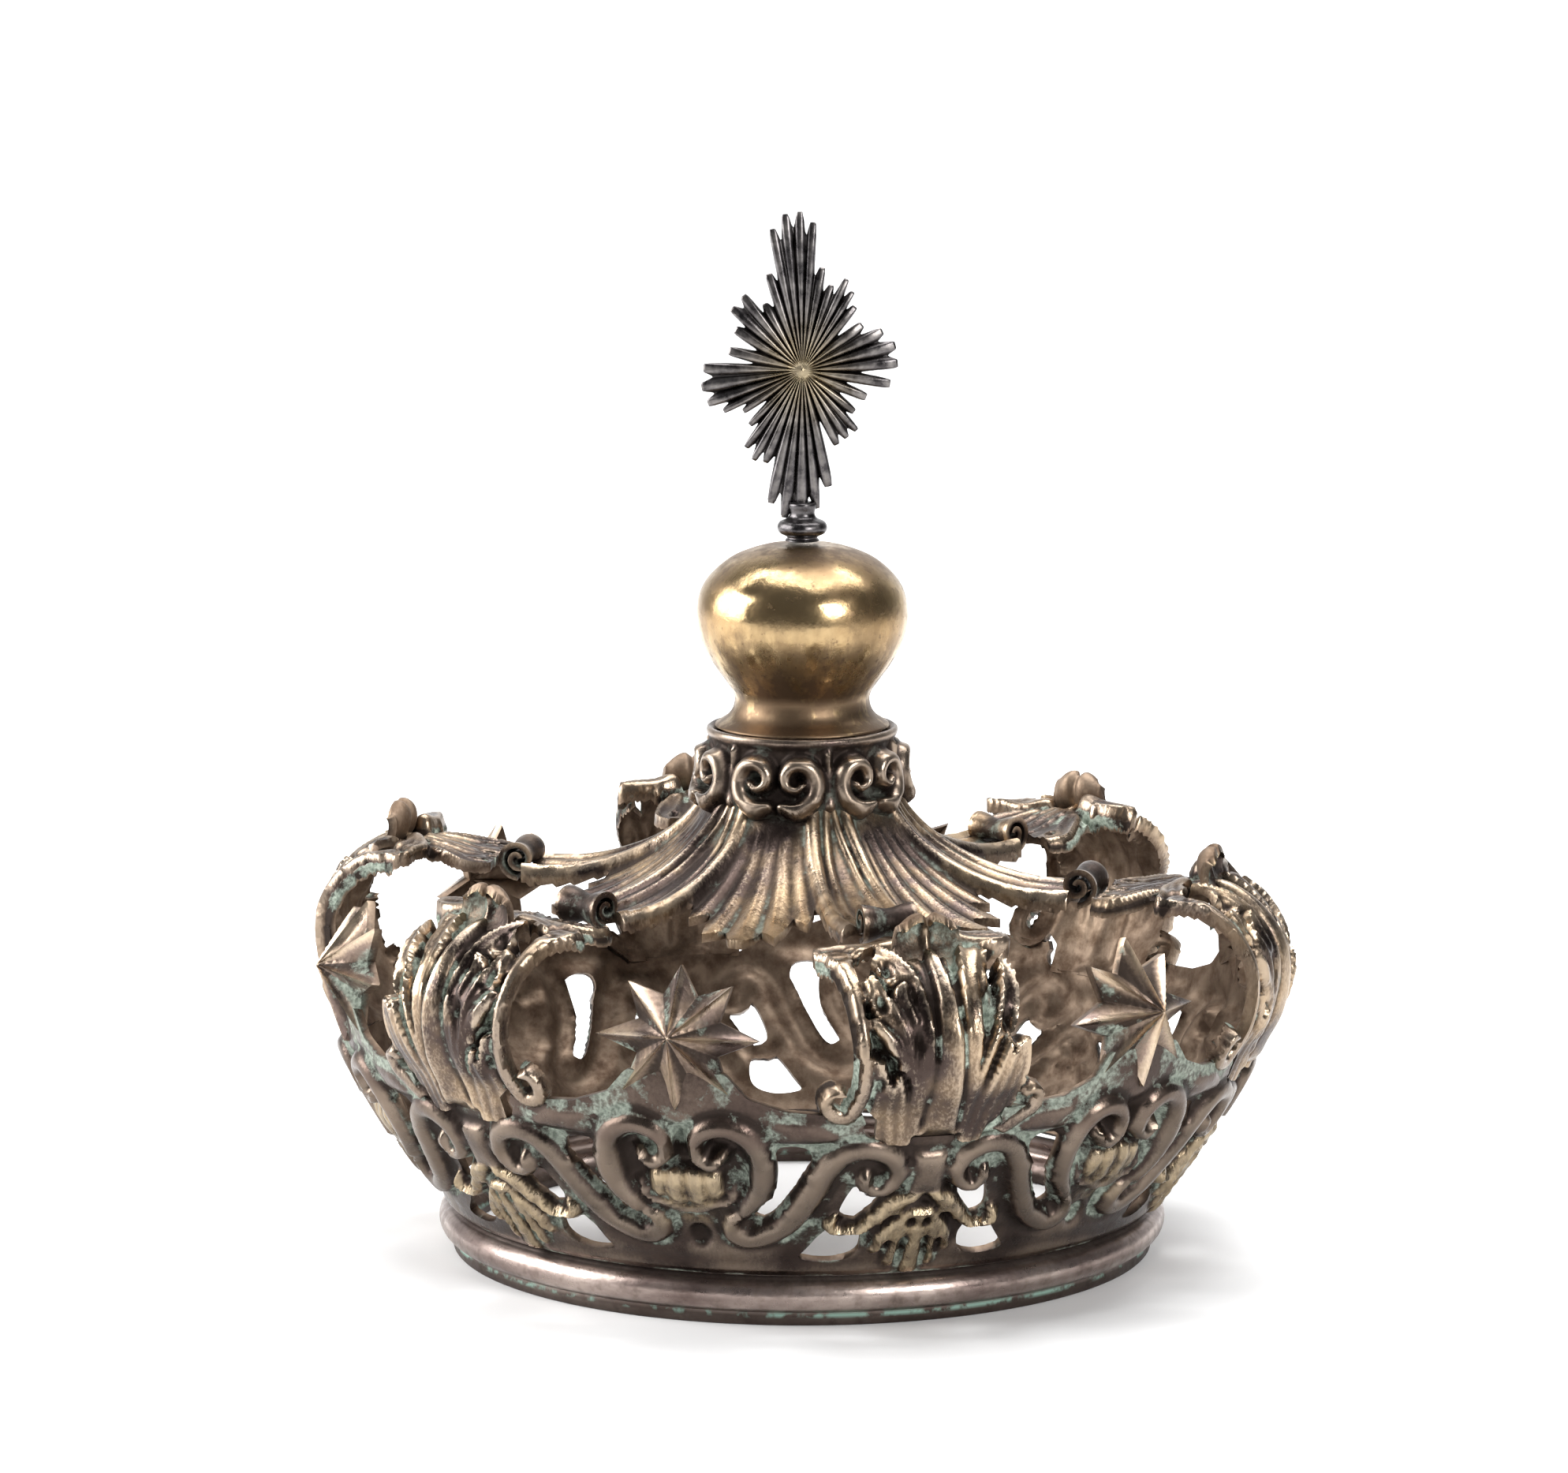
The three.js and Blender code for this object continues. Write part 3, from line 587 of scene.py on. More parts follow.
# Half of each pattern, mirrored about every arch or star: millimetres sideways, millimetres up the
# wall and, for a stroke, its half width.
OPENINGS_BY_ARCH = [
    [(9.6, 18.6), (6.2, 17), (5.6, 12.6), (8.6, 10.9), (11.4, 12.4)],
    [(11.3, 10), (8, 8.2), (7.7, 4.4), (11, 2.8), (15.6, 3.4), (14.6, 5.6)],
]
OPENING_BY_STAR = [(12.8, 24.6), (17.9, 24.8), (16.6, 17.7), (12.6, 11.7), (8.4, 11.7), (11.4, 16.6)]
S_SCROLL = [
    (24.2, 13.6, 0.8), (25.9, 12.2, 1.2), (25.6, 9.2, 1.6), (22.6, 7.8, 2.0), (18.8, 10.6, 2.2),
    (16.4, 16.2, 2.2), (14.8, 21.8, 2.1), (12.2, 25.1, 1.9), (8.8, 25.7, 1.8), (5.6, 24, 1.7),
    (4.5, 20.6, 1.5), (6.2, 18, 1.3), (8.6, 18.6, 1.1), (9, 20.8, 0.9),
]
C_SCROLL = [
    (7.6, 14.2, 1.2), (10.4, 18.2, 1.8), (11.3, 23.4, 1.9), (9.9, 27.8, 1.9), (6.4, 29.6, 1.8),
    (3, 28.2, 1.6), (2.1, 24.9, 1.3), (4.1, 22.9, 1.1), (5.9, 24.6, 0.9),
]
PALMETTE = [
    [(0.8, 16.6, 0.7), (2.2, 15.8, 1.0), (3.8, 13.4, 0.9)],
    [(2.2, 12.6, 0.7), (4.4, 8.8, 1.0), (5.4, 5.2, 0.6)],
    [(1.4, 16.6, 0.9), (4.2, 15.4, 1.2), (6.1, 12.6, 1.3), (8.6, 10, 1.0), (11.4, 9.6, 0.9),
     (12.8, 11, 0.7), (12, 12, 0.5)],
    [(1.5, 13.6, 0.6), (2.5, 8.6, 0.9), (3.1, 2.6, 0.6)],
    [(0.1, 13.6, 0.6), (0.5, 8, 0.9), (0.6, 1.0, 0.8)],
]
LEAFY_TIP = PALMETTE[2]
KNOP_Z, KNOP_HALF_WIDE, KNOP_HALF_HIGH = 20.6, 2.6, 3.9
SHELL = [(-5.4, 20.8), (-5, 16.2), (0, 14), (5, 16.2), (5.4, 20.8), (2.8, 21.8), (-2.8, 21.8)]
BOWL = [(-9, 27), (-9, 18), (0, 13), (9, 18), (9, 27), (0, 30)]
BOWL_LIP = [(-1, 14.1, 0.5), (1.5, 13.8, 0.5), (3.6, 15.2, 0.5), (5.6, 15.4, 0.5), (6.9, 18.6, 0.4)]
RAIL_FOOT = 26.6
RAIL_LEAF = [(14.5, 28, 0.7), (16.5, 29.6, 0.9), (18, 30.2, 0.5)]
# How far up the band reaches, by distance from the nearest arch.
UPPER_EDGE = [(0, 27), (9.7, 27), (10.4, 31.3), (21, 32.1), (26.5, 34), (29.8, 37.6)]


def circlet_frames(nominal, s):
    """How far points lie sideways from the nearest arch and from the nearest star."""
    r, _ = wall.at(s)
    arch = SECTOR * np.round(nominal / SECTOR)
    star = SECTOR * (np.floor(nominal / SECTOR) + 0.5)
    return np.abs(np.radians(nominal - arch) * r), np.abs(np.radians(nominal - star) * r)


def circlet_inside(nominal, s):
    a, b = circlet_frames(nominal, s)
    metal = np.minimum(s, np.interp(a, *zip(*UPPER_EDGE)) - s)
    for corners in OPENINGS_BY_ARCH:
        metal = np.minimum(metal, outside(a, s, corners))
    metal = np.minimum(metal, outside(b, s, OPENING_BY_STAR))
    for x, rows in ((a, S_SCROLL), (b, C_SCROLL), (a, LEAFY_TIP)):
        metal = np.maximum(metal, np.minimum(stroke(x, s, rows)[2], s))
    return metal


def circlet_pale(nominal, s):
    """Where the metal was left paler: the palmettes, the shells and the ground below a shell."""
    a, b = circlet_frames(nominal, s)
    pale = np.zeros(s.shape)
    for rows in PALMETTE:
        pale = np.maximum(pale, ease((1.15 - stroke(a, s, rows)[0]) * 4))
    shell = outside(b, s, SHELL)
    ground = 0.6 * ease(1.6 - 1.4 * np.hypot(b / 6.5, (s - 11.6) / 2.4))
    return np.maximum(np.maximum(pale, ground), ease(-shell / 0.8))


def circlet_grime(nominal, s):
    """The rail above the scrolls is the darkest."""
    return 0.9 * ease((s - 25.5) / 2.5)


def circlet_drawing(nominal, s):
    a, b = circlet_frames(nominal, s)
    h = 0.15 * np.sin(np.radians(nominal) * 9 + 1) * np.sin(s * 0.3)
    # A ground sunk between the foot's bead and the rail, and three slanting leaves on the rail.
    h -= 0.8 * ease((s - 4) / 3) * ease((31 - s) / 3)
    h += 0.5 * bump(s - 1.2, 0.9)
    rail = (s > RAIL_FOOT) & (a > 9)
    h = np.where(rail, np.maximum(h, 0.45 * ease((s - RAIL_FOOT) / 1.2)), h)
    for aside in (0, 2.2, 4.4):
        t, _, _ = stroke(a, s, [(x + aside, y, half) for x, y, half in RAIL_LEAF], 10)
        h += 0.5 * dome(t)
    # Cartouche: a bowl between two C-scrolls with a fluted shell in it.
    bowl = outside(b, s, BOWL)
    h = np.where(bowl < 0, -1.5 * ease(-bowl / 2.5), h)
    shell = outside(b, s, SHELL)
    flute = 0.9 * np.abs(np.sin(b * 0.95 * (1 + 0.03 * (s - 14))))
    h = np.where(shell < 0, 0.9 * ease(-shell / 2.4) + flute - 0.3, h)
    lip, _, _ = stroke(b, s, BOWL_LIP, 20)
    h = np.where(lip < 1, 0.9 + 0.4 * dome(lip), h)
    # Palmette: furrowed strokes under a beaded knop.
    for rows in PALMETTE:
        t, along, _ = stroke(a, s, rows)
        hatch = 0.16 * np.sin(along * 44)
        h = np.where(t < 1, 0.1 + 1.5 * dome(t) + hatch - 0.5 * bump(t, 0.3), h - 0.7 * bump(t - 1.1, 0.3))
    knop = np.maximum(a / KNOP_HALF_WIDE, np.abs(s - KNOP_Z) / KNOP_HALF_HIGH)
    beads = 0.25 * np.cos(a * 3.6) * np.cos((s - KNOP_Z) * 2.4)
    h = np.where(knop < 1, np.maximum(h, 0.9 * dome(knop**1.5) + beads), h)
    # Scrolls with their curled ends.
    for x, rows, high in ((a, S_SCROLL, 1.5), (b, C_SCROLL, 2.0)):
        t, along, _ = stroke(x, s, rows, 60)
        trough = 0.15 * bump(t - 0.1, 0.5) * ease(along * 5)
        h = laid_on(h, t, high * dome(t * 0.97) ** 1.25 - trough, 0.45 * bump(t - 1.1, 0.3))
    for x, (cx, cy) in ((a, (8.9, 20.6)), (b, (5.3, 25.4)), (a, (24.6, 12.6))):
        h += 0.5 * bump(np.hypot(x - cx, s - cy), 0.7)
    # A punched oval on the plain band below each star.
    oval = np.hypot(b / 1.35, (s - 7) / 2)
    return h - 1.1 * ease((1.15 - oval) * 2.5)


def circlet():
    columns = round_bearings(660)
    rows = np.linspace(-0.2, 38.2, 78)
    sheet(
        "pierced_band", columns, rows, surface_of(wall), circlet_drawing, circlet_inside,
        band_silver, "circlet", wrap=True, pale=circlet_pale, grime=circlet_grime,
    )


# ---- Stars ----

STAR_RAYS = 8
STAR_TIPS = [11, 11.4, 12.3, 11.4]
STAR_VALLEY = 6.4
STAR_PEAK = 6
STAR_LEAN = 10
STAR_R, STAR_Z = 68.8, 45.4


def star(number):
    """An eight-rayed star beaten up from behind, with a crest along every ray and painted light and shade
    on its facets.
    """
    rng = np.random.default_rng(number + 3)
    tips = np.tile(STAR_TIPS, 2) * rng.uniform(0.93, 1.0, STAR_RAYS)
    corners = 2 * STAR_RAYS
    turn = np.linspace(0, corners, 10 * corners, endpoint=False)
    k = turn.astype(int)
    f = turn - k
    angle = np.pi / 2 + np.pi / STAR_RAYS * np.arange(corners + 1)
    reach = [STAR_VALLEY if i % 2 else tips[i // 2 % STAR_RAYS] for i in range(corners + 1)]
    corner = np.stack([reach * np.cos(angle), reach * np.sin(angle)], -1)
    rim = corner[k] * (1 - f)[:, None] + corner[k + 1] * f[:, None]
    crest = np.where(k % 2 == 0, 1 - f, f)
    rho = np.linspace(0, 1, 22)[1:]
    X, Y = rim[:, 0][:, None] * rho, rim[:, 1][:, None] * rho
    across = crest[:, None] * np.ones_like(rho)
    sag = 0.4 * np.sin(np.pi * across) * np.sin(np.pi * rho)
    H = STAR_PEAK * (1 - rho) - sag + 0.15 * (across > 0.97)
    H = H * (1 + 0.02 * np.sin(7 * X + number)) - 0.15 * rho**6
    n, m = X.shape
    total = n * m
    flat = np.stack([X, Y, H], -1).reshape(-1, 3)
    under = flat - np.array([0, 0, SHEET])
    under[:, 2] -= 0.5 * (1 - np.tile(rho, n))
    points = np.concatenate([flat, under, [[0, 0, STAR_PEAK], [0, 0, STAR_PEAK - 2 * SHEET]]])
    bearing = STAR_BEARINGS[number]
    points = stood_up(points, 90 - STAR_LEAN, bearing) + polar(STAR_R, bearing, STAR_Z)
    # Painted light and shade: one facet of every ray is painted darker and the other lighter, as if lit
    # from one side; the crests are painted paler, as rubbed silver and as a painted highlight.
    painted_facet_light = np.where(k % 2 == 0, 0.14, -0.24)[:, None]
    relief_and_facet_light = 0.36 - 0.95 * across**2.5 + 0.12 * rho + painted_facet_light
    groove = np.concatenate([relief_and_facet_light.reshape(-1), np.zeros(total), [-0.5, 0]])
    rear = np.concatenate([np.zeros(total), np.ones(total), [0, 1]])
    edge = np.concatenate([np.tile(rho**8, n), np.tile(rho**8, n), [0, 0]])
    none = 0 * groove
    make(
        f"star_{number + 1}", points, plate_faces(n, m), star_silver, "circlet", "silver", sharp=22,
        hollow=groove, wide=none, edge=edge, rear=rear, pale=none, grime=none,
    )


def stood_up(points, tilt, bearing):
    """Points of a plate lying flat, tilted up about its X axis and then turned to a bearing."""
    x, y, z = points.T
    lean, turn = math.radians(tilt), math.radians(bearing)
    away = y * math.cos(lean) - z * math.sin(lean)
    up = y * math.sin(lean) + z * math.cos(lean)
    c, s = math.cos(turn), math.sin(turn)
    return np.stack([c * x - s * away, s * x + c * away, up], -1)


# ---- Arches ----

# Half width of a leaf by share of its length.
ARCH_WIDTH = [
    (0, 8.8), (0.09, 9), (0.13, 11.2), (0.2, 12), (0.3, 12.3), (0.42, 12.3), (0.5, 12.4), (0.57, 10.6),
    (0.64, 8), (0.72, 6.6), (0.8, 7), (0.86, 8), (0.92, 8), (0.96, 7), (1, 5),
]
# Flutes of the leaf's lobes, upper lobes first. One side carries a long bead, the other is freer.
BEAD_SIDE = [
    [[(2.7, 2, 0.8), (3.1, 12, 1.2), (3.7, 20, 1.5), (5, 28, 1.7), (7.2, 33, 1.5), (8.4, 36, 0.9)],
     [(3.8, 21.5, 0.9), (6.4, 28, 1.2), (8.8, 32.2, 1.0)]],
    [[(4.4, 8, 0.8), (4.9, 16, 1.1), (5.8, 21, 1.3), (6.5, 24.8, 1.2), (5.6, 26.2, 0.7)]],
    [[(4.4, 0.3, 0.9), (5.2, 8, 1.2), (6.6, 15, 1.4), (8.6, 20.6, 1.5), (10.9, 26.6, 1.2)],
     [(5.6, 12, 0.9), (7, 18, 1.2), (8.6, 23, 1.3), (9.8, 27.6, 0.9)]],
    [[(6.4, 14.6, 0.8), (8.4, 17.8, 1.1), (11, 21.4, 0.8)]],
    [[(9.5, 0.3, 1.0), (10.4, 5, 1.3), (11.1, 10, 1.3), (11.3, 15.4, 0.9)],
     [(7.7, 0.3, 1.0), (8.6, 5, 1.3), (9.2, 10, 1.3), (10, 14.8, 0.8)],
     [(5.9, 0.3, 0.9), (6.7, 5, 1.1), (7.1, 9.6, 1.1), (7.4, 12.6, 0.6)]],
]
FREE_SIDE = [
    [[(2.6, 2, 0.8), (3, 12, 1.2), (3.5, 20, 1.5), (4.4, 28, 1.6), (5.6, 34, 1.4), (6.8, 37.4, 0.9)],
     [(5, 24, 0.8), (6.6, 29, 1.1), (7.8, 33, 0.8)]],
    [[(4.1, 0.3, 0.8), (4.8, 8, 1.2), (6.4, 15, 1.4), (9, 21, 1.6), (10.2, 26.4, 1.4), (9.8, 30, 0.9)],
     [(5.6, 12, 0.9), (7.4, 18, 1.1), (8.9, 23.4, 1.1), (9.4, 27.4, 0.8)]],
    [[(9.1, 0.3, 1.0), (10.1, 6, 1.3), (11, 12, 1.4), (11.7, 17.4, 0.8)],
     [(7.3, 0.3, 0.9), (8.3, 6, 1.2), (9.4, 12, 1.3), (10.5, 17, 0.7)],
     [(5.6, 0.3, 0.9), (6.4, 6, 1.1), (7.6, 12, 1.2), (8.8, 17.4, 0.7)]],
]
# Dark slots between the lobes: place, and half width each way.
EYES = [
    (-10.1, 17.6, 0.6, 1.4), (-8.0, 14.6, 0.7, 1.3), (-9.3, 23.6, 0.6, 1.5), (-7.4, 29.4, 0.8, 1.3),
    (-4.6, 18.4, 0.4, 1.6), (-9.9, 11.2, 0.5, 1.2), (5.9, 21.6, 0.6, 3.0), (8.6, 20.4, 0.5, 1.5),
    (7.9, 28.6, 0.7, 1.6),
]
LONG_BEAD = [
    (14.8, 9.6, 0.8), (16.2, 9.7, 0.95), (17, 7.8, 1.1), (16, 5.5, 1.35), (13.6, 4.9, 1.45),
    (12.3, 7.2, 1.25), (12, 11, 1.1), (12.2, 16, 1.05), (12.5, 21, 1.05), (12.6, 26, 1.15),
    (12.8, 30.5, 1.4), (12.9, 34, 2.2),
]
SHORT_VOLUTE = [
    (12.4, 7.6, 0.7), (13.2, 8.6, 0.9), (14.6, 7.6, 1.1), (14.4, 5, 1.3), (12.4, 3.4, 1.4),
    (10.4, 1.8, 1.4), (8.8, 0.6, 1.2),
]
ARMS = [
    [(3.8, 37, 1.5), (7, 37.6, 2.0), (10.6, 36.4, 2.1), (13.4, 35.6, 2.3)],
    [(3.8, 36, 1.5), (6.4, 35.6, 2.1), (9.2, 34.9, 2.3), (11.4, 34.4, 1.7)],
]
HEAD_LEAVES = [
    [(2.4, 38, 1.2), (3.6, 44, 1.6), (5, 49, 1.5), (6.4, 53.6, 0.8)],
    [(0.9, 38, 0.9), (1.5, 46, 1.4), (2.6, 54.6, 0.8)],
    [(4.4, 40, 1.4), (6.6, 43.6, 1.8), (8.2, 46.6, 1.6), (7.6, 49.4, 1.0)],
]
# The leaf's tip: radius, height and half width.
HOOD = [
    (66.1, 56.2, 6.1), (64.7, 57.5, 5.7), (63.4, 59.3, 5.2), (62.9, 61.1, 4.8), (63.3, 62.5, 4.5),
    (64.3, 62.9, 3.9),
]
BEADED, FREE = [LONG_BEAD, ARMS[0]], [SHORT_VOLUTE, ARMS[1]]
# Half width of the body on the free side, where the lobes reach past it, and of the middle rib.
FREE_CORE = [(0, 10), (5, 9.8), (15, 8.6), (25, 8.2), (35, 7.8), (39, 12)]
RIB_HALF = [(0, 2.5), (10, 2.1), (20, 1.7), (32, 1.0), (38, 0.6)]
RIB_TOP = 38


def arch_inside(x, s):
    a = np.abs(x)
    core = np.interp(s, *zip(*FREE_CORE))
    room = np.interp(s / arch_line.length, *zip(*ARCH_WIDTH))
    body = np.where(x > 0, np.minimum(room, core), room) - a
    metal = np.minimum(np.minimum(body, s), arch_line.length - s)
    lobes = [flute for lobe in FREE_SIDE for flute in lobe]
    for y, strokes in ((-x, BEADED), (x, FREE + lobes), (a, HEAD_LEAVES)):
        for rows in strokes:
            metal = np.maximum(metal, np.minimum(stroke(y, s, rows)[2], s))
    return metal


def channel(t):
    """A flute between two crisp ridges."""
    return 1.05 - 0.6 * np.clip(1 - t * t, 0, 1) ** 2 - 0.6 * ease((t - 0.84) / 0.16)


def lay_lobe(h, y, s, flutes, swell):
    """Lays one lobe over what is there, its tip lifting off and a dark gap around it."""
    best, along = np.full(y.shape, 9.0), np.zeros(y.shape)
    for rows in flutes:
        t, place, _ = stroke(y, s, rows, 26)
        along = np.where(t < best, place, along)
        best = np.minimum(best, t)
    lifted = ease(along * 1.3 - 0.3)
    top = swell + channel(best) * (0.7 + 0.3 * lifted) + 0.8 * lifted - 0.3
    gap = bump((best - 1.2) / 0.35, 1) * ease(along * 2.4 - 1)
    return np.where(best < 1, np.maximum(top, h), h - 1.5 * gap)


def arch_drawing(x, s, wobble):
    shifted = x - wobble * np.sin(s * 0.09)
    a = np.abs(shifted)
    low = ease(s / 4) * ease((40 - s) / 9)
    swell = 1.7 * (1 - np.clip(a / 12.5, 0, 1) ** 2) - 0.4
    h = swell * (0.4 + 0.6 * low) - 0.9
    for y, lobes in ((-shifted, BEAD_SIDE), (shifted, FREE_SIDE)):
        for flutes in lobes:
            laid = lay_lobe(h, y, s, flutes, swell * 0.8)
            h = np.where(y > 0, laid, h)
    for cx, cy, wx, wy in EYES:
        h -= 1.9 * np.exp(-(((shifted - cx) / wx) ** 2) - ((s - cy) / wy) ** 2)
    rib_half = np.interp(s, *zip(*RIB_HALF))
    t = a / rib_half
    rib = 1.35 + 0.25 * dome(t) + 0.25 * np.clip(shifted, -1.5, 1.5)
    h = np.where((t < 1) & (s < RIB_TOP), rib * low + h * (1 - low), h)
    h -= 0.8 * bump((a - rib_half * 1.1) / 0.3, 1) * low
    for rows in HEAD_LEAVES:
        t, _, _ = stroke(a, s, rows)
        h = np.where(t < 1, np.maximum(h, channel(t)), h - 0.4 * bump(t - 1.1, 0.25) * (s > 40))
    for y, rows, high in ((-shifted, ARMS[0], 1.7), (shifted, ARMS[1], 3.2)):
        t, along, _ = stroke(y, s, rows, 40)
        furrow = 1.1 * bump(t - 0.25, 0.3) * ease(along * 2)
        h = laid_on(h, t, high * dome(t * 0.95) - furrow, 0.6 * bump(t - 1.1, 0.3))
    for y, rows in ((-shifted, LONG_BEAD), (shifted, SHORT_VOLUTE)):
        t, along, _ = stroke(y, s, rows, 60)
        cup = 1.5 * bump(t, 0.6) * ease(along * 12 - 11)
        h = laid_on(h, t, 1.1 * dome(t * 0.95) - cup, 0.9 * bump(t - 1.15, 0.35) * (y > 0))
    return h


def arch_grime(x, s):
    """Where the leaf is darkest: its beads, its arms and its shoulder."""
    dark = 0.5 * ease((s - 34) / 5)
    for y, strokes in ((-x, BEADED), (x, FREE)):
        for rows in strokes:
            dark = np.maximum(dark, 0.62 * ease((1.2 - stroke(y, s, rows)[0]) * 4))
    return dark


def arch(number):
    bearing = ARCH_BEARINGS[number]
    lift = ARCH_LIFTS[number]
    hand = BEAD_HANDS[number]

    def place(x, s, proud):
        r, z = arch_line.at(s, proud)
        radius, _ = arch_line.at(s)
        return polar(r, bearing + np.degrees(x * hand / radius), z + lift * ease((z - 33) / 19))

    def drawing(x, s):
        return arch_drawing(x, s, ARCH_WOBBLES[number])

    columns = np.linspace(-18.4, 18.4, 105)
    rows = np.linspace(-0.2, arch_line.length + 0.2, 165)
    sheet(
        f"acanthus_{number + 1}", columns, rows, place, drawing, arch_inside, leaf_silver,
        f"arch_{number + 1}", flip=hand < 0, grime=arch_grime,
    )
    hood(number, bearing, lift)


def hood(number, bearing, lift):
    """The leaf's tip: it stands up and turns outwards over two hollows with a bright rim."""
    line = Profile([row[:2] for row in HOOD])
    shares = np.linspace(0, 1, len(HOOD))
    halves = [row[2] for row in HOOD]

    def place(t, u, proud):
        half = np.interp(u / line.length, shares, halves)
        r, z = line.at(u, proud)
        return polar(r, bearing + np.degrees(t * half / r), z + lift)

    def drawing(t, u):
        rise = ease(u / line.length)
        cups = 2.3 * np.abs(t) ** 2.6 + 1.3 * bump(t, 0.13) - 0.7
        rim = 0.8 * bump((u - line.length) / 0.9, 1)
        return cups * rise + rim

    def inside(t, u):
        notch = 0.9 * bump(t, 0.12) + 1.6 * np.clip(np.abs(t) - 0.72, 0, 1) ** 1.5 * 6
        return np.minimum(np.minimum((1 - np.abs(t)) * 4, line.length - notch - u), u)

    def pale_rim(t, u):
        return 0.9 * bump((u - line.length) / 1.1, 1)

    def grimy_root(t, u):
        return 0.6 * bump((u - 3) / 3.4, 1)

    columns = np.linspace(-1.02, 1.02, 46)
    rows = np.linspace(-0.1, line.length + 0.1, 44)
    sheet(
        f"leaf_tip_{number + 1}", columns, rows, place, drawing, inside, leaf_silver,
        f"arch_{number + 1}", pale=pale_rim, grime=grimy_root,
    )


# ---- Canopy ----

# How far out the fluted sheet reaches, by share of the way from one rib to the next.
FAN_EDGE = [(0, 28), (0.1, 32.5), (0.19, 29.5), (0.3, 37), (0.39, 33.6), (0.47, 38.6), (0.5, 38.9)]


def canopy_frames(nominal, v):
    r, _ = rib_line.at(v)
    rib = SECTOR * np.round(nominal / SECTOR)
    x = np.radians(nominal - rib) * r
    half = np.interp(r, [14.7, 20, 33, 43], [3.7, 4.8, 6.0, 6.2])
    room = np.radians(SECTOR / 2) * r - half
    share = np.clip((np.abs(x) - half) / room, 0, 1) / 2
    return r, x, half, share


def canopy_inside(nominal, v):
    r, x, half, share = canopy_frames(nominal, v)
    rib = np.minimum(half - np.abs(x), rib_line.length - v)
    fan = np.interp(share, *zip(*FAN_EDGE)) - r
    return np.minimum(np.maximum(rib, fan), v)


def canopy_drawing(nominal, v):
    r, x, half, share = canopy_frames(nominal, v)
    drop = np.interp(r, [14, 20, 28, 40], [0, 0.6, 1.4, 2.6])
    uneven = share + 0.012 * np.sin(nominal * 0.31 + 1) + 0.004 * np.sin(nominal * 1.7)
    flute = 0.9 * np.abs(np.sin(uneven * np.pi * 5)) ** 0.8 - 0.45
    fan = -drop + (0.5 + 0.045 * (r - 14)) * flute * ease((r - 15) / 4)
    a = np.abs(x)
    beads = 1.5 * dome((half - 1.15 - a) / 1.15) + 0.9 * dome((half - 3.1 - a) / 0.7)
    fluting = 0.3 * np.cos(x * 2.8) * ease((r - 26) / 7)
    rib = beads + 0.1 + fluting * (a < half - 3.6)
    mixed = ease((a - half) / 0.9)
    return rib * (1 - mixed) + fan * mixed


def canopy_place(nominal, v, proud):
    r, z = rib_line.at(v)
    return polar(r, true_bearing(nominal), z + proud)


def canopy():
    columns = round_bearings(480)
    rows = np.linspace(-0.1, rib_line.length + 0.1, 72)
    sheet(
        "fluted_canopy", columns, rows, canopy_place, canopy_drawing, canopy_inside,
        canopy_silver, "canopy", wrap=True,
    )
    for number, bearing in enumerate(ARCH_BEARINGS):
        roll(number, bearing)


ROLL_R, ROLL_Z = 43.7, 57.5
ROLL_OUTER, ROLL_INNER, ROLL_SHEET = 3.4, 0.8, 0.9


def roll(number, bearing):
    """A rib's end, curled under into a roll that shows as a spiral at each side."""
    turn = np.linspace(-0.5 * np.pi, 2.9 * np.pi, 74)
    spiral = np.interp(turn, [turn[0], turn[-1]], [ROLL_OUTER, ROLL_INNER])
    across = np.linspace(-4, 4, 21)
    waist = 1 - 0.32 * bump(across / 2.4, 1)
    sideways = polar(1, bearing + 90, 0)
    n, m = len(across), len(turn)
    total = n * m
    points = []
    for radius in (spiral, spiral - ROLL_SHEET):
        radius = waist[:, None] * radius
        rolled = polar(ROLL_R + radius * np.cos(turn), bearing, ROLL_Z + radius * np.sin(turn))
        points += (rolled + across[:, None, None] * sideways).reshape(-1, 3).tolist()
    faces = []
    for i in range(n - 1):
        for j in range(m - 1):
            a = i * m + j
            front = (a, a + m, a + m + 1, a + 1)
            faces += [front, tuple(total + corner for corner in reversed(front))]

    def rim(a, b):
        faces.append((a, a + total, b + total, b))

    for i in range(0, total - m, m):
        rim(i, i + m)
        rim(i + 2 * m - 1, i + m - 1)
    for j in range(m - 1):
        rim(j + 1, j)
        rim(total - m + j, total - m + j + 1)
    side = np.abs(across)[:, None] * np.ones(m)
    ridge = np.where(side > 3.5, -0.5, 0.45 * bump(side / 2, 1))
    none = np.zeros(2 * total)
    make(
        f"rib_roll_{number + 1}", np.array(points), faces, canopy_silver, "canopy", "silver",
        hollow=np.concatenate([ridge.reshape(-1), np.full(total, 0.4)]), wide=none,
        edge=none + 0.2, rear=none, pale=none, grime=none + 0.6,
    )


COLLAR_SCROLL = [
    (0.9, -5.2, 0.9), (3, -5.4, 1.4), (5.1, -3.9, 1.5), (5.7, -1.3, 1.5), (4.7, 1.1, 1.5), (2.8, 1.7, 1.4),
    (1.4, 0.3, 1.2), (1.5, -1.6, 1.0), (2.8, -2.4, 0.85), (3.7, -1.5, 0.7),
]


COLLAR_LEAF = [(0.1, 3.4, 0.4), (0.1, -4.6, 1.1)]
COLLAR_PROFILE = [
    (14.8, 66.2), (14.9, 67.6), (14.2, 69.6), (13.6, 73), (13.6, 76.5), (14, 78.2), (13.4, 79.1),
]
COLLAR_R, COLLAR_MIDDLE, COLLAR_RIM = 14.6, 74, 4.7


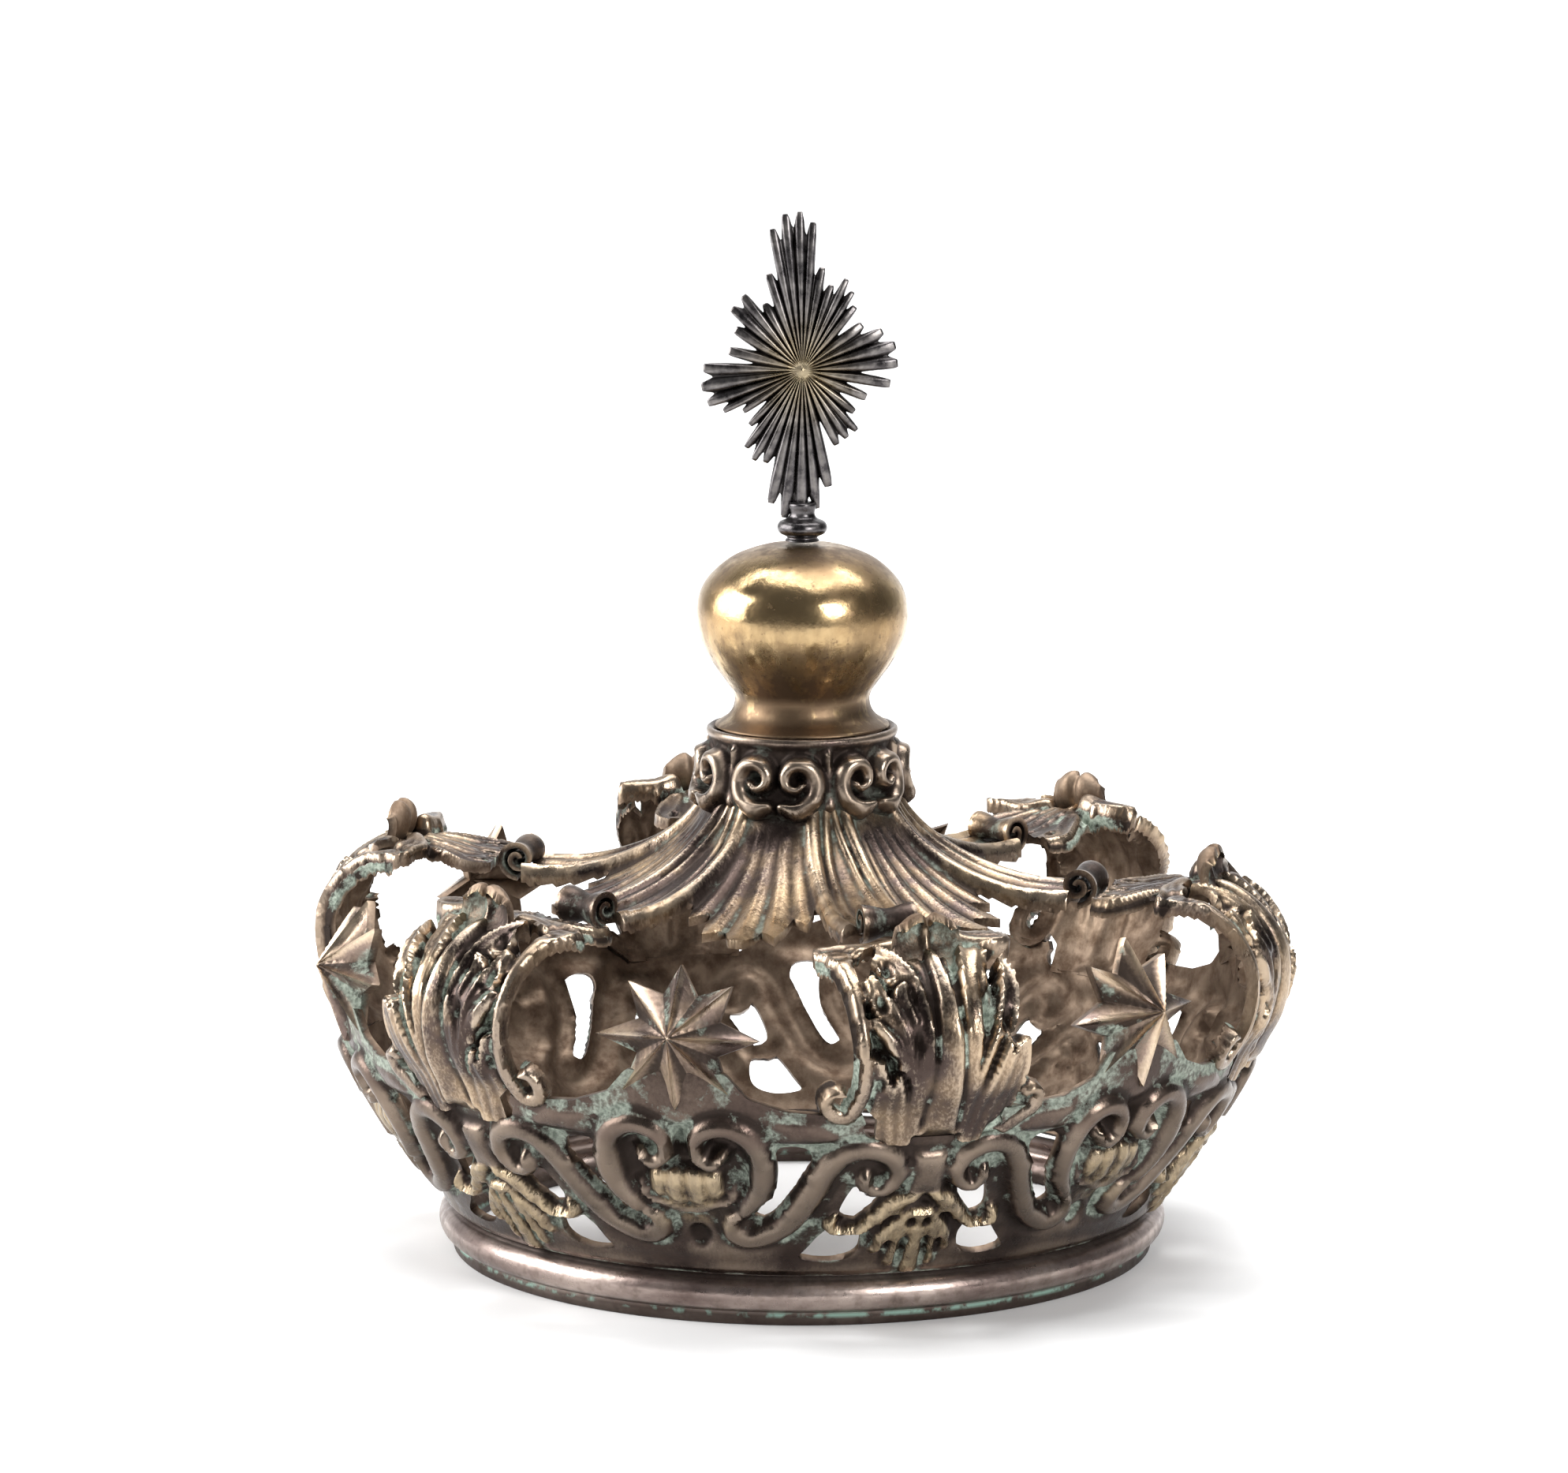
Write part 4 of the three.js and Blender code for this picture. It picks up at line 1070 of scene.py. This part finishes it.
def collar():
    profile = Profile(COLLAR_PROFILE)

    def drawing(nominal, v):
        star = SECTOR * (np.floor(nominal / SECTOR) + 0.5)
        a = np.abs(np.radians(nominal - star) * COLLAR_R)
        y = profile.at(v)[1] - COLLAR_MIDDLE
        t, _, _ = stroke(a, y, COLLAR_SCROLL, 50)
        h = np.where(t < 1, 2.7 * dome(t * 0.9) + 0.1, -0.1 - 0.2 * bump(t - 1.1, 0.4))
        between = np.radians(SECTOR / 2) * COLLAR_R - a
        leaf, _, _ = stroke(between, y, COLLAR_LEAF, 12)
        h = np.where(leaf < 1, np.maximum(h, 1.3 * dome(leaf)), h)
        return np.maximum(h, 0.8 * bump(y - COLLAR_RIM, 0.5))

    def inside(nominal, v):
        return np.minimum(v, profile.length - v) + 0.05

    columns = round_bearings(300)
    rows = np.linspace(0, profile.length, 46)
    sheet(
        "scrolled_collar", columns, rows, surface_of(profile), drawing, inside,
        collar_silver, "canopy", wrap=True,
    )


# ---- Orb and cross ----

ORB_NECK = [
    (13.15, 79.42), (13, 79.7), (12.2, 80.2), (11.2, 80.9), (10.5, 81.9), (10.2, 83), (10.15, 84),
]
ORB_BALL = [
    (10.5, 84.8), (11.8, 86.6), (13.3, 88.7), (14.9, 91.6), (15.8, 94.6), (15.85, 97.4), (15.1, 100.3),
    (13.2, 102.8), (10.2, 105), (6, 106.5), (3, 106.8), (0.05, 106.85),
]
ORB_INNER = [
    (0.05, 105.8), (7, 105), (12.2, 102), (14.6, 97), (13.4, 91), (10.4, 86.4), (9.1, 84),
    (9.5, 81.8), (12.1, 79.45),
]
CROSS_Z = 133
# Angle in degrees and length of the cross's rays, all the way round.
RAYS = [
    (109, 15.2), (102, 21.5), (96.5, 23.4), (90.8, 23.6), (86, 22.1), (79, 15.6), (71, 13.4),
    (64, 15.1), (57, 13.9), (51, 12.3), (37, 11.2), (26, 13.3), (15, 14.4), (4, 14.3), (-9, 13.3),
    (-23, 10.4), (-40, 10), (-48, 12.2), (-57, 12.2), (-65, 12.4), (-78, 18), (-84, 21), (-90, 22),
    (-97, 22.4), (-103, 20.6), (-112, 15), (-118, 15.4), (-126, 14.4), (-133, 11.4), (-145, 10.8),
    (-152, 13.3), (-160, 15), (-170, 15.3), (-181, 14.8), (-194, 11.3), (-212, 11.7), (-221, 14),
    (-232, 14.2), (-240, 11.4),
]
WIDE_GAP = 11.9
KNOP = [
    (0.05, 107.2), (2.5, 107.3), (2.3, 107.9), (3.4, 108.5), (3.8, 109.3), (3.4, 110.2), (2.2, 110.8),
    (1.9, 111.6), (2.1, 113), (0.05, 113.4),
]


def orb():
    outer = np.vstack([spline(ORB_NECK, 26)[:-1], spline(ORB_BALL, 60)])
    shell = np.vstack([outer, spline(ORB_INNER, 40)])
    turned("gilt_orb", shell, 120, gilt, "orb", "gilt", 0.12)


def ray_fields(angle):
    """How far the cross reaches at an angle, and how near that is to a furrow between two rays,
    which is cut deeper where the rays stand wide apart."""
    turn = np.array(sorted((a % 360, length) for a, length in RAYS))
    angles = np.concatenate([[turn[-1, 0] - 360], turn[:, 0], [turn[0, 0] + 360]])
    lengths = np.concatenate([[turn[-1, 1]], turn[:, 1], [turn[0, 1]]])
    k = np.clip(np.searchsorted(angles, angle % 360) - 1, 0, len(angles) - 2)
    gap = angles[k + 1] - angles[k]
    f = (angle % 360 - angles[k]) / gap
    near = np.where(f < 0.5, lengths[k], lengths[k + 1])
    furrow = 1 - np.abs(2 * f - 1)
    deep = np.minimum(lengths[k], lengths[k + 1]) * np.where(gap > WIDE_GAP, 0.66, 0.91)
    reach = near + (np.minimum(deep, near) - near) * ease(furrow * 1.5 - 0.5)
    return reach, furrow


def cross():
    columns, rows = 600, 44
    A, S = np.meshgrid(round_bearings(columns), np.linspace(0.02, 1, rows), indexing="ij")
    reach, furrow = ray_fields(A)
    R = reach * S
    face = (0.35 + 0.75 * dome(furrow)) * np.clip(R / 2.2, 0, 1) ** 0.5 * (1 - 0.55 * S**5)
    face = np.maximum(face, 0.9 - R * 0.12) * (1 - 0.75 * S**14)
    X, Z = R * np.cos(np.radians(A)), R * np.sin(np.radians(A))
    front = np.stack([X, -face, CROSS_Z + Z], -1).reshape(-1, 3)
    back = np.stack([X, face * 0.9, CROSS_Z + Z], -1).reshape(-1, 3)
    points = np.concatenate([front, back, [[0, -1, CROSS_Z], [0, 0.9, CROSS_Z]]])
    groove = ((furrow - 0.45) * 0.8 * np.clip(R / 3, 0, 1)).reshape(-1)
    glow = bump(R, 5.5).reshape(-1)
    make(
        "rayed_cross", points, plate_faces(columns, rows), cross_silver, "cross", "dark_silver",
        sharp=70, hollow=np.concatenate([groove, groove, [0, 0]]),
        middle=np.concatenate([glow, glow, [1, 1]]),
    )
    turned("cross_knop", spline(KNOP, 46), 64, cross_silver, "cross", "dark_silver", 1.6)


# ---- Studio ----

# Metres: the white floor curves up behind the crown and is a hair below the crown's foot.
FLOOR_HALF, FLOOR_SINK = 9.0, 0.00005
BEND_Y, BEND_RADIUS = 1.4, 0.9
WALL_TOP = 3
CROWN = (0, 0, 0.07)
# Each lamp's place, size, power in watts and target.
LAMPS = {
    "left_box": ((-1.15, 0.0, 0.5), (0.9, 0.8), 25, CROWN),
    "right_box": ((0.72, -0.98, 0.56), (0.42, 0.5), 12, CROWN),
    "top_box": ((0.1, 0.15, 1.2), (1.0, 0.9), 15, CROWN),
    "back_wash": ((0, 0.5, 1.5), (2.6, 0.8), 48, (0, 2.0, 0.4)),
}


def studio():
    turns = np.linspace(0, math.pi / 2, 30)
    bend = [(BEND_Y + BEND_RADIUS * math.sin(a), BEND_RADIUS - BEND_RADIUS * math.cos(a)) for a in turns]
    line = [(-FLOOR_HALF, 0), (0, 0), *bend, (BEND_Y + BEND_RADIUS, WALL_TOP)]
    points = [(x, y, z - FLOOR_SINK) for y, z in line for x in (-FLOOR_HALF, FLOOR_HALF)]
    faces = [(2 * i, 2 * i + 1, 2 * i + 3, 2 * i + 2) for i in range(len(line) - 1)]
    mesh = bpy.data.meshes.new("floor")
    mesh.from_pydata(points, [], faces)
    mesh.shade_smooth()
    floor = added("floor", mesh)
    paper = bpy.data.materials.new("paper")
    paper.use_nodes = True
    surface = paper.node_tree.nodes["Principled BSDF"].inputs
    surface["Base Color"].default_value = (0.9, 0.9, 0.9, 1)
    surface["Roughness"].default_value = 0.7
    mesh.materials.append(paper)
    world = bpy.data.worlds.new("studio")
    world.use_nodes = True
    sky = world.node_tree.nodes["Background"].inputs
    sky["Color"].default_value = (0.95, 0.96, 1, 1)
    sky["Strength"].default_value = 0.15
    bpy.context.scene.world = world
    for name, (place, size, power, target) in LAMPS.items():
        lamp(name, place, size, power, target)


def lamp(name, place, size, power, target):
    data = bpy.data.lights.new(name, "AREA")
    data.shape = "RECTANGLE"
    data.size, data.size_y = size
    data.energy = power
    light = added(name, data)
    light.location = place
    aim = np.array(target) - np.array(place)
    yaw = math.atan2(aim[1], aim[0]) - math.pi / 2
    pitch = math.atan2(math.hypot(aim[0], aim[1]), -aim[2])
    light.rotation_euler = (pitch, 0, yaw)


# The camera looks along +Y and a little downwards, at a point by the crown's middle line.
CAMERA_X, CAMERA_TARGET_Z = -0.002737, 0.07753
CAMERA_AWAY, CAMERA_DOWN = 0.98878, math.radians(9.411)


def camera():
    data = bpy.data.cameras.new("camera")
    data.lens = 150.7
    data.sensor_width = 36
    data.clip_start = 0.05
    data.clip_end = 20
    view = added("camera", data)
    height = CAMERA_TARGET_Z + CAMERA_AWAY * math.sin(CAMERA_DOWN)
    view.location = (CAMERA_X, -CAMERA_AWAY * math.cos(CAMERA_DOWN), height)
    view.rotation_euler = (math.pi / 2 - CAMERA_DOWN, 0, 0)
    bpy.context.scene.camera = view


camera()
studio()
foot_ring()
circlet()
for each in range(SECTORS):
    star(each)
    arch(each)
canopy()
collar()
orb()
cross()
bpy.context.scene.view_settings.view_transform = "Standard"
